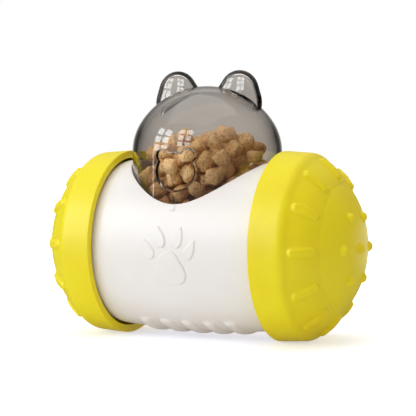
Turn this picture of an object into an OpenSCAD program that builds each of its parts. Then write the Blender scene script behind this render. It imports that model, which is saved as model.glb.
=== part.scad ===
// Treat-dispensing wobble toy: a weighted barrel hangs between two free-turning wheels,
// and a clear bear-eared dome on top holds the treats and lets them out at the front.
// X runs along the wheel axle, -Y is the front, +Z is up, and the floor is at Z = 0.

/* [Barrel] */
// Outer radius of the barrel at its middle
barrel_r = 44.1; // [43:0.1:48]
// Wall of the barrel
barrel_wall = 2.6; // [2:0.1:3.2]
// Length of the barrel's level middle
barrel_flat = 32; // [31:0.5:40]
// Length of the barrel between its drawn-in ends
barrel_straight = 70; // [68:0.5:84]
// Fall of the barrel's radius from its level middle to its drawn-in ends
barrel_crown = 1.6; // [0.8:0.1:2.4]
// Radius of the arc that draws each barrel end in
barrel_shoulder_r = 34; // [31:0.5:40]
// Length of each drawn-in end
barrel_shoulder_len = 17; // [15:0.5:19]
// Thickness of the end covers
cover_t = 2.4; // [1.8:0.1:3.5]
// Distance of the end cover's screws in from the barrel's mouth
cover_screw_in = 5; // [4.5:0.1:6]
// Height of the relief on the barrel: paw and index mark
relief_h = 0.7; // [0.4:0.1:1.2]
// Height of the grip bars under the barrel
bar_h = 1.4; // [0.8:0.1:1.8]
// Width of a grip bar
bar_w = 7.4; // [4:0.2:9]
// Spacing of the grip bars
bar_pitch = 11.8; // [10:0.2:13]
// Number of grip bars
bar_count = 5; // [3:1:5]

/* [Wheels] */
// How far the wheel's inside lies outside the barrel's widest place
wheel_gap = 0.4; // [0.2:0.1:2]
// Wall of the wheel
wheel_wall = 3; // [2:0.1:4]
// How far the wheel's lip reaches over the barrel's end
wheel_overlap = 9; // [6:0.5:10]
// Width of the level tread band
band_w = 13.4; // [12:0.2:16]
// Radius of the rounded edge of the tread
tread_edge_r = 5; // [4:0.5:7]
// Depth of the wheel from its lip to the seat of the hub cap
wheel_depth = 31.2; // [29:0.1:34]
// Radius of the hub cap
cap_r = 31.5; // [27:0.5:33]
// Rise of the domed hub cap
cap_rise = 8.6; // [7:0.2:14]
// Wall of the hub cap
cap_wall = 2.2; // [1.6:0.1:2.8]
// Number of ribs on the wheel's slope
rib_count = 12; // [6:1:14]
// Width of a rib
rib_w = 5; // [3:0.2:6]
// How far a rib stands up from the slope
rib_h = 1.5; // [0.8:0.1:2]
// Length of a rib
rib_len = 16; // [10:0.5:16.5]
// Radius of a nub on the hub cap
nub_r = 2.6; // [1.5:0.1:3.5]
// How far a nub stands up from the hub cap
nub_h = 2.3; // [1.2:0.1:2.6]
// Radius of the ring of nubs
nub_ring_r = 17.4; // [12:0.2:22]
// Number of nubs in the ring
nub_count = 6; // [4:1:9]

/* [Axle] */
// Radius of the stub axle on each end cover
axle_r = 7; // [5:0.1:8]
// Running clearance between axle and wheel hub
axle_clear = 0.06; // [0.02:0.01:0.1]
// Wall of the wheel's hub tube
hub_wall = 3.5; // [2:0.1:5]
// Length of the wheel's hub tube
hub_len = 13.5; // [12:0.1:15]
// Thickness of the wheel's web
web_t = 2.6; // [1.8:0.1:3.5]
// End play of the wheel on its axle
end_play = 0.3; // [0.15:0.05:0.6]
// Thickness of the axle washer
washer_t = 1.2; // [0.8:0.1:2]
// Radius of the axle screw's head
axle_head_r = 4; // [3:0.1:5]
// Radius of the axle screw's shank
axle_shank_r = 2; // [1.5:0.1:2.4]
// Length of the axle screw's shank in the axle
axle_shank_len = 11; // [8:0.5:12]

/* [Dome] */
// Outer radius of the dome
dome_r = 38.1; // [36:0.1:38.8]
// Wall of the dome
dome_wall = 2.4; // [2:0.1:3]
// Rise of the dome above its widest place
dome_rise = 33.4; // [31:0.1:38]
// Radius of the dome's shoulder
dome_shoulder_r = 28; // [22:0.5:29]
// Height of the dome's widest place above the barrel's top
dome_lift = 2.75; // [2:0.05:8]
// How far the dome's skirt reaches down past the dip of its seat
skirt_depth = 8.5; // [8:0.1:10]
// Radial clearance of the dome in its seat
dome_clear = 0.4; // [0.3:0.05:0.6]
// Radius of an ear's rounded top
ear_r = 9.9; // [8:0.1:12]
// Thickness of an ear
ear_t = 9.5; // [7.5:0.1:12]
// Distance of each ear's centre from the middle
ear_x = 17.6; // [15:0.1:19]
// Height of each ear's centre below the dome's top
ear_drop = 2; // [0:0.1:5]
// Growth in radius of the ear's foot
ear_flare = 3.6; // [1:0.1:4]
// How far the foot of an ear lies below its centre
ear_foot_drop = 6.6; // [4:0.1:8]
// How far the foot of an ear lies in from its centre
ear_foot_in = 1.2; // [0:0.1:3]
// Radius of the round part of the treat outlet
outlet_r = 9.9; // [6:0.1:11]
// Radius of the two lobes of the outlet
outlet_lobe_r = 3.4; // [2:0.1:4]
// Height of the outlet's lower edge above the dip of the dome's seat
outlet_lift = 6.6; // [4:0.1:9]

/* [Twist lock] */
// Number of lock pins in the seat
pin_count = 3; // [3:1:3]
// Radius of a lock pin
pin_r = 1.3; // [0.8:0.1:1.5]
// How far a pin stands in from the seat
pin_reach = 1.1; // [0.8:0.1:1.4]
// Clearance of a pin in its groove
pin_clear = 0.35; // [0.3:0.05:0.5]
// Height of the pins above the dome's lower edge
pin_lift = 4.2; // [3.5:0.1:5]
// Turn of the dome from its front stop to release, in degrees
twist = 100; // [80:1:102]
// Thickness of the seat's tube inside the barrel
seat_wall = 2; // [1.5:0.1:2.5]
// Width of the ledge that carries the tray
ledge_w = 2.2; // [1.5:0.1:4]
// Thickness of the ledge
ledge_t = 1.8; // [1.2:0.1:2.5]

/* [Tray and weight] */
// Wall of the tray under the treats
tray_wall = 1.8; // [1.2:0.1:2.5]
// Depth of the tray
tray_depth = 4; // [2:0.2:6]
// Width of the tray's rim
tray_rim = 4.2; // [3:0.1:6]
// Clearance between pieces that are fitted by hand
fit_clear = 0.3; // [0.1:0.05:0.4]
// Length of the counterweight
weight_len = 48; // [40:0.5:50]
// Thickness of the counterweight at its middle
weight_t = 12.5; // [10:0.1:15]
// Thickness of the plate over the counterweight
plate_t = 2.2; // [1.6:0.1:3]
// Width of the plate over the counterweight
plate_w = 40; // [38:0.5:44]
// Radius of the screw posts
post_r = 3.4; // [3:0.1:4]
// Radius of the small screws' shank
screw_r = 1.35; // [1:0.05:1.6]
// Radius of the small screws' head
screw_head_r = 2.7; // [2.2:0.1:3]
// Height of the small screws' head
screw_head_h = 1.8; // [1.2:0.1:2.4]
// Length of the small screws below their head
screw_len = 9; // [7:0.5:10]
// Clearance of the small screws in their holes
screw_clear = 0.1; // [0.05:0.05:0.25]

/* [Treats] */
// Reach of one treat from its centre
treat_r = 5.16; // [4.6:0.02:5.6]
// Half the thickness of one treat
treat_half = 4.4; // [3.8:0.1:4.6]
// Gap between neighbouring treats
treat_gap = 0.28; // [0.1:0.02:0.6]
// Height of the heap's peak above the dome's widest place
heap_peak = 15.5; // [4:0.5:20]
// Radius of the heap's level top
heap_flat = 10; // [0:0.5:20]
// Fall of the heap's surface with distance from its level top
heap_slope = 0.42; // [0.2:0.02:0.6]
// Place of the heap's middle along the axle
heap_x = 5; // [-10:1:12]
// Tilt of the treats' packing about the axle, in degrees
heap_tilt = 40; // [0:1:60]
// Tilt of the treats' packing to the side, in degrees
heap_lean = 21; // [0:1:60]
// Turn of the treats' packing about the dome's axis, in degrees
heap_turn = 35; // [0:1:60]

/* [Hidden] */
$fn = 64;
eps = 0.01;
far = 400;

cream = [0.95, 0.93, 0.90];
yellow = [0.96, 0.87, 0.10];
smoke = [0.30, 0.29, 0.28, 0.45];
steel = [0.62, 0.63, 0.65];
iron = [0.36, 0.36, 0.38];
biscuit = [0.69, 0.48, 0.29];

// The barrel's falling sides, and the middle of the arc that draws an end in
side_x = [barrel_flat / 2, (barrel_flat + barrel_straight) / 4, barrel_straight / 2];
side_fall = [0, 0.4 * barrel_crown, barrel_crown];
shoulder_a = atan2(side_fall[2] - side_fall[1], side_x[2] - side_x[1]);
shoulder_c = [barrel_r - barrel_crown, side_x[2]] - barrel_shoulder_r * [cos(shoulder_a), sin(shoulder_a)];

// Wheel and axle places along X, measured outwards from the middle
barrel_end_x = barrel_straight / 2 + barrel_shoulder_len;
cover_face_x = barrel_end_x + cover_t;
thrust_h = 0.4;
hub_x = cover_face_x + thrust_h + end_play;
web_face_x = hub_x + hub_len;
axle_tip_x = web_face_x + end_play;
washer_face_x = axle_tip_x + washer_t;
axle_head_h = 2.4;
lip_x = barrel_end_x - wheel_overlap;
band_end_x = lip_x + band_w;
seat_x = lip_x + wheel_depth;
cap_tip_x = seat_x + cap_rise;

// Wheel radii, and the slope that runs from the tread's edge to the hub cap
wheel_in_r = barrel_r + wheel_gap;
wheel_r = wheel_in_r + wheel_wall;
axle_z = wheel_r;
edge_c = [wheel_r - tread_edge_r, band_end_x];
edge_to_seat = [cap_r, seat_x] - edge_c;
slope_a = atan2(edge_to_seat[1], edge_to_seat[0]) - acos(tread_edge_r / norm(edge_to_seat));
slope_n = [cos(slope_a), sin(slope_a)];
slope_top = edge_c + tread_edge_r * slope_n;
slope_dir = ([cap_r, seat_x] - slope_top) / norm([cap_r, seat_x] - slope_top);
slope_len = norm([cap_r, seat_x] - slope_top);
cap_sphere_r = (cap_r * cap_r + cap_rise * cap_rise) / (2 * cap_rise);
cap_c_x = cap_tip_x - cap_sphere_r;
cap_plug_r = cap_r - 2;
plug_clear = 0.15;
plug_wall = 2;
hub_r = axle_r + axle_clear + hub_wall;
washer_r = hub_r - 0.6;

// Dome seat: a round well in the barrel, whose edge dips at the front and the back
seat_r = dome_r + dome_clear;
seat_dip = sqrt(barrel_r * barrel_r - seat_r * seat_r);
skirt_z = axle_z + seat_dip - skirt_depth;
equator_z = axle_z + barrel_r + dome_lift;
dome_top_z = equator_z + dome_rise;
dome_in_r = dome_r - dome_wall;
tray_top_z = skirt_z - fit_clear;
ledge_z = tray_top_z - tray_wall;
tray_r = seat_r - fit_clear;
tray_floor_r = tray_r - tray_rim - tray_depth;
tray_floor_z = tray_top_z - tray_depth;
outlet_z = axle_z + seat_dip + outlet_lift + outlet_r;

// Twist lock
groove_depth = pin_reach - dome_clear + pin_clear;
groove_h = 2 * (pin_r + pin_clear);
pin_z = skirt_z + pin_lift;
pin_half_a = asin((pin_r + pin_clear) / (dome_r - groove_depth));
pin_first_a = 90;

// Counterweight compartment
barrel_in_r = barrel_r - barrel_wall;
weight_r = barrel_in_r - fit_clear;
weight_top_z = axle_z - weight_r + weight_t;
plate_z = weight_top_z + fit_clear;
post_x = weight_len / 2 + fit_clear + post_r + 1;
post_y = plate_w / 2 - post_r;
plate_len = 2 * (post_x + post_r);
cover_r = barrel_end_r(0) - 0.6;
cover_mouth_r = barrel_end_r(barrel_wall);
cover_screw_r = cover_mouth_r - cover_screw_in;
cover_screw_angles = [90, 210, 330];

// Treats lie close packed from the tray to the heap's surface
treat_pitch = 2 * treat_r + treat_gap;
layer_h = treat_pitch * sqrt(2 / 3);
first_layer_z = tray_floor_z + treat_r + fit_clear;
treat_reach = dome_in_r - treat_r - 0.6;
turn_step = 137.5;

// Turns what is drawn along Z so that it runs along +X at the height of the axle
module on_axle() translate([0, 0, axle_z]) rotate([0, 90, 0]) children();

// The same, for the left or the right end
module at_end(left) {
    if (left) mirror([1, 0, 0]) on_axle() children();
    else on_axle() children();
}

// A slice of a disc between two angles less than 180 degrees apart
module sector(c, r, a0, a1) {
    reach = 3 * r;
    middle = (a0 + a1) / 2;
    translate(c) intersection() {
        circle(r);
        polygon([[0, 0], reach * [cos(a0), sin(a0)], reach * [cos(middle), sin(middle)],
            reach * [cos(a1), sin(a1)]]);
    }
}

// A bar with ball ends, from one point to another along Z
module capsule(r, len) {
    rotate_extrude() {
        translate([0, -len / 2]) square([r, len]);
        sector([0, len / 2], r, 0, 90);
        sector([0, -len / 2], r, -90, 0);
    }
}

// Radius of the barrel's end, taken in by inset
function barrel_end_r(inset) =
    shoulder_c[0] + sqrt(pow(barrel_shoulder_r - inset, 2) - pow(barrel_end_x - shoulder_c[1], 2));

// Outer radius of the barrel between its drawn-in ends, at a place along the axle
function barrel_r_at(x) =
    barrel_r - lookup(abs(x), [for (i = [0:2]) [side_x[i], side_fall[i]]]);

// Half outline of the barrel: level middle, falling sides and drawn-in ends, taken in by inset
module barrel_outline(inset) {
    steps = 10;
    arc_r = barrel_shoulder_r - inset;
    end_a = asin((barrel_end_x - shoulder_c[1]) / arc_r);
    side = concat(
        [for (i = [0:1]) [barrel_r - side_fall[i] - inset, side_x[i]]],
        [for (i = [0:steps]) let (a = shoulder_a + (end_a - shoulder_a) * i / steps)
            shoulder_c + arc_r * [cos(a), sin(a)]],
        [[0, barrel_end_x]]);
    last = len(side) - 1;
    polygon(concat(side, [for (i = [last:-1:0]) [side[i][0], -side[i][1]]]));
}

module barrel_solid(inset) on_axle() rotate_extrude() barrel_outline(inset);

// Outline of a toe, a drop with its point along +Y
module toe_outline(len, w) {
    steps = 28;
    polygon([for (i = [0:steps - 1]) let (t = 360 * i / steps)
        [w * sin(t) * sin(t / 2), len / 2 * cos(t)]]);
}

// Outline of the paw's pad, a triangle with full round corners
module pad_outline(r, swell) {
    steps = 36;
    polygon([for (i = [0:steps - 1]) let (t = 360 * i / steps)
        r * (1 + swell * cos(3 * (t - 90))) * [cos(t), sin(t)]]);
}

// A common paw print: one pad and four toes, about its own middle
module paw_outline() {
    toe_len = 10.6;
    toe_w = 3.4;
    translate([0, -6.6]) pad_outline(8.9, 0.13);
    for (side = [-1, 1]) {
        translate([side * 4.9, 9]) rotate(-side * 16) toe_outline(toe_len, toe_w);
        translate([side * 11, 3.2]) rotate(-side * 24) toe_outline(toe_len, toe_w);
    }
}

// Index mark under the dome's seat, a small triangle
module mark_outline() polygon([[-1.1, -1.2], [1.1, -1.2], [0, 1.3]]);

// Raises an outline, drawn as seen from the front, off the barrel's front
module on_front(z) intersection() {
    translate([0, 0, z]) rotate([90, 0, 0]) linear_extrude(far) children();
    barrel_solid(-relief_h);
}

// One grip bar: a rounded hoop under the barrel, cut to a long pill as seen from below
module grip_bar(x) {
    reach = 22;
    hoop_r = bar_w * 0.62;
    translate([x, 0, 0]) intersection() {
        on_axle() rotate_extrude() translate([barrel_r_at(x) + bar_h - hoop_r, 0]) circle(hoop_r);
        linear_extrude(axle_z) {
            square([bar_w, 2 * reach], center = true);
            for (side = [-1, 1]) translate([0, side * reach]) circle(bar_w / 2);
        }
    }
}

// Places for the screws that hold an end cover, around the axle
module cover_screw_places() {
    for (a = cover_screw_angles) rotate(a + 90) translate([cover_screw_r, 0, 0]) children();
}

// Posts inside one end of the barrel for the cover's screws, each on a web from the wall
module cover_posts() {
    depth = screw_len + 1;
    top = barrel_end_x - 0.4;
    cover_screw_places() translate([0, 0, top - depth]) {
        cylinder(r = post_r, h = depth);
        translate([0, -1.2, 0]) cube([barrel_in_r, 2.4, depth]);
    }
}

module plate_screw_places() {
    for (x = [-post_x, post_x], y = [-post_y, post_y]) translate([x, y, 0]) children();
}

module barrel_shell() color(cream) {
    pilot = screw_r + screw_clear;
    difference() {
        union() {
            difference() {
                union() {
                    barrel_solid(0);
                    for (i = [0:bar_count - 1]) grip_bar((i - (bar_count - 1) / 2) * bar_pitch);
                    on_front(axle_z - 3.2) paw_outline();
                    on_front(axle_z + seat_dip - 1.7) mark_outline();
                }
                barrel_solid(barrel_wall);
                on_axle() cylinder(r = cover_mouth_r, h = far, center = true);
            }
            intersection() {
                barrel_solid(barrel_wall / 2);
                union() {
                    translate([0, 0, ledge_z - ledge_t]) cylinder(r = seat_r + seat_wall, h = far);
                    plate_screw_places() cylinder(r = post_r, h = plate_z);
                    for (left = [true, false]) at_end(left) cover_posts();
                }
            }
            intersection() {
                barrel_solid(0);
                translate([0, 0, ledge_z - ledge_t]) difference() {
                    cylinder(r = seat_r + seat_wall, h = far);
                    translate([0, 0, -1]) cylinder(r = seat_r, h = far);
                }
            }
        }
        translate([0, 0, ledge_z]) cylinder(r = seat_r, h = far);
        translate([0, 0, ledge_z - ledge_t - 1]) cylinder(r = seat_r - ledge_w, h = far);
        plate_screw_places() translate([0, 0, plate_z - screw_len]) cylinder(r = pilot, h = far);
        for (left = [true, false]) at_end(left) cover_screw_places()
            translate([0, 0, barrel_end_x - screw_len]) cylinder(r = pilot, h = far);
    }
    lock_pins();
}

// Pins that stand in from the seat and run in the dome's grooves
module lock_pins() {
    for (i = [0:pin_count - 1]) rotate(pin_first_a + i * 360 / pin_count)
        translate([seat_r - pin_reach, 0, pin_z]) rotate([0, 90, 0])
            cylinder(r = pin_r, h = pin_reach + seat_wall / 2);
}

// End cover with its plug, thrust ring and stub axle
module end_cover(left) color(cream) at_end(left) {
    hole = screw_r + screw_clear;
    plug_r = cover_mouth_r - fit_clear / 2;
    difference() {
        union() {
            translate([0, 0, barrel_end_x]) cylinder(r = cover_r, h = cover_t);
            translate([0, 0, barrel_end_x - 0.4]) cylinder(r = plug_r, h = 1);
            translate([0, 0, cover_face_x - eps]) cylinder(r = hub_r, h = thrust_h + eps);
            translate([0, 0, cover_face_x - eps]) cylinder(r = axle_r, h = axle_tip_x - cover_face_x + eps);
        }
        cover_screw_places() translate([0, 0, barrel_end_x - 2]) cylinder(r = hole, h = far);
        translate([0, 0, axle_tip_x - axle_shank_len - 1])
            cylinder(r = axle_shank_r + screw_clear, h = far);
    }
}

// A pan-head screw that points down Z, with the underside of its head at Z = 0
module pan_screw(head_r, head_h, shank_r, len) {
    crown = head_h * 0.45;
    cross_w = head_r * 0.32;
    difference() {
        union() {
            rotate_extrude() polygon([[0, 0], [head_r, 0], [head_r, head_h - crown],
                [head_r - crown, head_h], [0, head_h]]);
            translate([0, 0, -len]) cylinder(r = shank_r, h = len + eps);
        }
        for (a = [0, 90]) rotate(a) translate([0, 0, head_h])
            cube([head_r * 1.2, cross_w, head_h], center = true);
    }
}

module end_cover_screws(left) color(steel) at_end(left) cover_screw_places()
    translate([0, 0, cover_face_x]) pan_screw(screw_head_r, screw_head_h, screw_r, screw_len);

module axle_screw(left) color(steel) at_end(left) translate([0, 0, washer_face_x])
    pan_screw(axle_head_r, axle_head_h, axle_shank_r, axle_shank_len + washer_t);

module axle_washer(left) color(steel) at_end(left) translate([0, 0, axle_tip_x]) difference() {
    cylinder(r = washer_r, h = washer_t);
    translate([0, 0, -1]) cylinder(r = axle_shank_r + screw_clear, h = washer_t + 2);
}

// Half outline of the wheel's outside, with its walls taken in by inset
module wheel_outline(inset) {
    steps = 12;
    edge_r = tread_edge_r - inset;
    edge = [for (i = [0:steps]) let (a = slope_a * i / steps) edge_c + edge_r * [cos(a), sin(a)]];
    tip = edge[steps] + slope_dir * (slope_len + inset);
    polygon(concat([[0, lip_x], [wheel_r - inset, lip_x]], edge, [tip, [0, tip[1]]]));
}

// One rib lying along the wheel's slope, sunk so that only its top shows
module wheel_rib() {
    sink = rib_w / 2 - rib_h;
    root = (wheel_wall - sink) / 2;
    centre = slope_top + slope_dir * slope_len / 2 - slope_n * sink;
    translate([centre[0], 0, centre[1]]) rotate([0, atan2(slope_dir[0], slope_dir[1]), 0]) intersection() {
        capsule(rib_w / 2, rib_len - rib_w);
        translate([-root, -far / 2, -far / 2]) cube(far);
    }
}

module wheel(left) color(yellow) at_end(left) {
    difference() {
        union() {
            rotate_extrude() wheel_outline(0);
            for (i = [0:rib_count - 1]) rotate(90 + i * 360 / rib_count) wheel_rib();
        }
        difference() {
            intersection() {
                rotate_extrude() wheel_outline(wheel_wall);
                translate([0, 0, lip_x - 1]) cylinder(r = far, h = web_face_x - web_t - lip_x + 1);
            }
            translate([0, 0, hub_x]) cylinder(r = hub_r, h = far);
        }
        translate([0, 0, lip_x - 1]) cylinder(r = axle_r + axle_clear, h = far);
        translate([0, 0, web_face_x]) cylinder(r = cap_plug_r, h = far);
        translate([0, 0, lip_x - 1]) cylinder(r = wheel_in_r, h = 1 + eps);
    }
}

// Domed hub cap with its ring of nubs, and the plug that holds it in the wheel
module hub_cap(left) color(yellow) at_end(left) {
    nub_a = asin(nub_ring_r / cap_sphere_r);
    nub_c = cap_sphere_r + nub_h - nub_r;
    difference() {
        union() {
            intersection() {
                translate([0, 0, cap_c_x]) sphere(cap_sphere_r);
                translate([0, 0, seat_x]) cylinder(r = cap_r + 1, h = far);
            }
            translate([0, 0, cap_c_x]) {
                translate([0, 0, nub_c]) sphere(nub_r);
                for (i = [0:nub_count - 1]) rotate([0, 0, 90 + i * 360 / nub_count])
                    rotate([0, nub_a, 0]) translate([0, 0, nub_c]) sphere(nub_r);
            }
        }
        translate([0, 0, cap_c_x]) sphere(cap_sphere_r - cap_wall);
    }
    translate([0, 0, web_face_x + plug_clear]) difference() {
        cylinder(r = cap_plug_r - plug_clear, h = seat_x - web_face_x + 0.6);
        translate([0, 0, -1]) cylinder(r = cap_plug_r - plug_clear - plug_wall, h = far);
    }
}

// Round tray that lies on the ledge of the seat and closes the well under the treats
module food_tray() color(cream) {
    rotate_extrude() polygon([[0, tray_floor_z - tray_wall], [tray_floor_r, tray_floor_z - tray_wall],
        [tray_floor_r + tray_depth, ledge_z], [tray_r, ledge_z], [tray_r, tray_top_z],
        [tray_floor_r + tray_depth, tray_top_z], [tray_floor_r, tray_floor_z], [0, tray_floor_z]]);
}

// Iron segment that fills the bottom of the barrel
module counterweight() color(iron) intersection() {
    barrel_solid(barrel_wall + fit_clear);
    translate([-weight_len / 2, -far / 2, weight_top_z - far]) cube([weight_len, far, far]);
}

// Plate that holds the counterweight down on its four posts
module weight_plate() color(cream) difference() {
    corner = post_r;
    translate([0, 0, plate_z]) linear_extrude(plate_t) {
        square([plate_len, plate_w - 2 * corner], center = true);
        square([plate_len - 2 * corner, plate_w], center = true);
        for (x = [-1, 1], y = [-1, 1])
            translate([x * (plate_len / 2 - corner), y * (plate_w / 2 - corner)]) circle(corner);
    }
    plate_screw_places() cylinder(r = screw_r + screw_clear, h = far);
}

module weight_screws() color(steel) plate_screw_places() translate([0, 0, plate_z + plate_t])
    pan_screw(screw_head_r, screw_head_h, screw_r, screw_len);

// Half outline of the dome, taken in by inset: skirt, shoulder arc and crown arc
module dome_outline(inset, low_z) {
    r = dome_r - inset;
    shoulder = dome_shoulder_r - inset;
    off = dome_r - dome_shoulder_r;
    crown = (off * off + dome_rise * dome_rise - dome_shoulder_r * dome_shoulder_r)
        / (2 * (dome_rise - dome_shoulder_r));
    crown_z = equator_z + dome_rise - crown;
    meet_a = atan2(equator_z - crown_z, off);
    translate([0, low_z]) square([r, equator_z - low_z]);
    sector([off, equator_z], shoulder, 0, meet_a);
    sector([0, crown_z], crown - inset, meet_a, 90);
}

// One ear, a rounded disc on a wider foot that sinks into the dome, taken in by inset
module ear(side, inset) {
    half = ear_t / 2 - inset;
    top = [ear_x, dome_top_z - ear_drop, ear_r];
    foot = [ear_x - ear_foot_in, dome_top_z - ear_drop - ear_foot_drop, ear_r + ear_flare];
    for (disc = [top, foot]) translate([side * disc[0], 0, disc[1]]) rotate([90, 0, 0])
        rotate_extrude() {
            translate([0, -half]) square([disc[2] - inset - half, 2 * half]);
            sector([disc[2] - inset - half, 0], half, -90, 0);
            sector([disc[2] - inset - half, 0], half, 0, 90);
        }
}

// Outline of the treat outlet, a round hole with two lobes
module outlet_outline() {
    circle(outlet_r);
    for (side = [-1, 1]) translate([side * (outlet_r - outlet_lobe_r), outlet_r * 0.83])
        circle(outlet_lobe_r);
}

// Grooves around the dome's skirt: one run for each pin, and its way in from below
module lock_grooves() {
    inner = dome_r - groove_depth;
    for (i = [0:pin_count - 1]) {
        start_a = pin_first_a + i * 360 / pin_count - twist - pin_half_a;
        rotate(start_a) {
            rotate_extrude(angle = twist + 2 * pin_half_a)
                translate([inner, pin_z - groove_h / 2]) square([dome_r, groove_h]);
            rotate_extrude(angle = 2 * pin_half_a)
                translate([inner, skirt_z - 1]) square([dome_r, pin_z - skirt_z + 1]);
        }
    }
}

module bear_dome() color(smoke) difference() {
    union() {
        rotate_extrude() dome_outline(0, skirt_z);
        for (side = [-1, 1]) ear(side, 0);
    }
    rotate_extrude() dome_outline(dome_wall, skirt_z - 1);
    for (side = [-1, 1]) ear(side, dome_wall);
    translate([0, 0, outlet_z]) rotate([90, 0, 0]) linear_extrude(far) outlet_outline();
    lock_grooves();
}

// One baked treat: a short round tablet with blunted edges
module treat() {
    flat_r = sqrt(treat_r * treat_r - treat_half * treat_half);
    side_r = treat_r * 0.93;
    side_h = sqrt(treat_r * treat_r - side_r * side_r);
    rotate_extrude($fn = 24) polygon([[0, -treat_half], [flat_r, -treat_half], [side_r, -side_h],
        [side_r, side_h], [flat_r, treat_half], [0, treat_half]]);
}

// Does a treat's centre lie in the chamber, over the tray and under the heap's surface?
function in_heap(p) =
    let (reach = p[2] < tray_top_z + treat_r ? treat_reach - 3 : treat_reach)
    norm([p[0], p[1]]) < reach
    && p[2] > first_layer_z
    && p[2] + treat_r < equator_z + heap_peak
        - heap_slope * max(0, norm([p[0] - heap_x, p[1]]) - heap_flat);

// Tilts a place in the packing about X, leans it about Y, then turns it about the dome's axis
function turned(p) =
    let (y = p[1] * cos(heap_tilt) - p[2] * sin(heap_tilt))
    let (up = p[1] * sin(heap_tilt) + p[2] * cos(heap_tilt))
    let (x = p[0] * cos(heap_lean) + up * sin(heap_lean))
    [x * cos(heap_turn) - y * sin(heap_turn), x * sin(heap_turn) + y * cos(heap_turn),
        up * cos(heap_lean) - p[0] * sin(heap_lean)];

module treats() color(biscuit) {
    n = ceil(2 * dome_r / treat_pitch);
    for (k = [-n:n], j = [-n:n], i = [-n:n]) {
        shift = abs(k % 2);
        p = [0, 0, tray_top_z + treat_pitch] + turned([(i + j / 2 + shift / 2) * treat_pitch,
            (j + shift / 3) * treat_pitch * sqrt(3) / 2, k * layer_h]);
        turn = turn_step * (i + 7 * j + 31 * k);
        if (in_heap(p)) translate(p) rotate([turn, turn * 1.7, 0]) treat();
    }
}

barrel_shell();
end_cover(true);  // end_cover_left
end_cover(false);  // end_cover_right
end_cover_screws(true);  // end_cover_screws_left
end_cover_screws(false);  // end_cover_screws_right
food_tray();
counterweight();
weight_plate();
weight_screws();
axle_washer(true);  // axle_washer_left
axle_washer(false);  // axle_washer_right
axle_screw(true);  // axle_screw_left
axle_screw(false);  // axle_screw_right
treats();
wheel(true);  // wheel_left
hub_cap(true);  // hub_cap_left
wheel(false);  // wheel_right
hub_cap(false);  // hub_cap_right
bear_dome();
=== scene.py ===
"""Treat dispensing wobble toy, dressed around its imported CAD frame.

Shapes are worked out in millimetres in the frame's own axes: X along the axle, -Y to the
front, +Z up, with the floor at zero. They become metres when a mesh is made.
"""

import logging
import math
from dataclasses import dataclass
from enum import Enum
from typing import Mapping, Sequence

import bmesh
import bpy
import numpy as np
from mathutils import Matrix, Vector


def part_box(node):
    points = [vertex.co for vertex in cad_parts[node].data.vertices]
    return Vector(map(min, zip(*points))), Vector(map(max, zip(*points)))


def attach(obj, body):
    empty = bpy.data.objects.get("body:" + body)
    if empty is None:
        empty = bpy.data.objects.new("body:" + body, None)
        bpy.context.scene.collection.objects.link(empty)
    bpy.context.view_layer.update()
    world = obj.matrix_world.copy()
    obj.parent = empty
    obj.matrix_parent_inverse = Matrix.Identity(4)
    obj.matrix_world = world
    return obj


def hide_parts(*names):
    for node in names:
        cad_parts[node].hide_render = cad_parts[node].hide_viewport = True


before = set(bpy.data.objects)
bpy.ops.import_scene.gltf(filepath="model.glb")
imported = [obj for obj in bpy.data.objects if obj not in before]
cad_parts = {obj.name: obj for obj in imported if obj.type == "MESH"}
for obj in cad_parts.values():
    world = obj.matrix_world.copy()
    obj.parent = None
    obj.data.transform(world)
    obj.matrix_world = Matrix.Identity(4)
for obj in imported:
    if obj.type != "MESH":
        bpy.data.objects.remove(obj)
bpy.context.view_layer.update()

LOG = logging.getLogger("wobble_toy")
MM = 0.001
ARC_STEP = math.radians(9.0)
MERGE_MM = 0.002
NEAR_MM = 0.01
CLOUDS_PER_M = 38.0

Colour = tuple[float, float, float]
Place = tuple[float, float, float]
Filling = bpy.types.NodeSocket | float | Sequence[float]
COLOUR, VALUE, VECTOR = "NodeSocketColor", "NodeSocketFloat", "NodeSocketVector"
WHITE: Colour = (1.0, 1.0, 1.0)
COOL: Colour = (0.86, 1.0, 1.12)
# Point mark of the kibble: each piece's random bake times painted top light, paler higher in the heap.
BAKE_AND_PAINTED_LIGHT = "bake"


class Lamp(Enum):
    """What a lamp does: it gives soft light, or only shows as a reflection."""

    SOFT = "soft"
    MIRRORED = "mirrored"


class Side(Enum):
    """An end of the toy, as its sign along the axle."""

    LEFT = -1
    RIGHT = 1

    @property
    def tag(self) -> str:
        """The end's name as the frame's nodes write it."""
        return self.name.lower()


class Cut(Enum):
    """What a boolean tool does to the piece it works on."""

    JOIN = "UNION"
    TAKE_AWAY = "DIFFERENCE"


def srgb(red: float, green: float, blue: float) -> Colour:
    """Turns a display colour into the linear colour that shaders use.

    Args:
        red: Red from 0 to 255.
        green: Green from 0 to 255.
        blue: Blue from 0 to 255.

    Returns:
        The linear colour from 0 to 1.
    """
    shown = np.array([red, green, blue]) / 255.0
    linear = np.where(shown <= 0.04045, shown / 12.92, ((shown + 0.055) / 1.055) ** 2.4)
    return tuple(float(v) for v in linear)


def box_mm(node: str) -> tuple[np.ndarray, np.ndarray]:
    """Gives the box of a CAD node at rest.

    Args:
        node: Name of the node.

    Returns:
        Its lowest and highest corner in millimetres.
    """
    low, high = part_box(node)
    return np.array(low) / MM, np.array(high) / MM


def smooth_step(value: np.ndarray) -> np.ndarray:
    """Eases 0 to 1 with no slope at either end: t * t * (3 - 2 t), held outside."""
    t = np.clip(value, 0.0, 1.0)
    return t * t * (3.0 - 2.0 * t)


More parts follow.
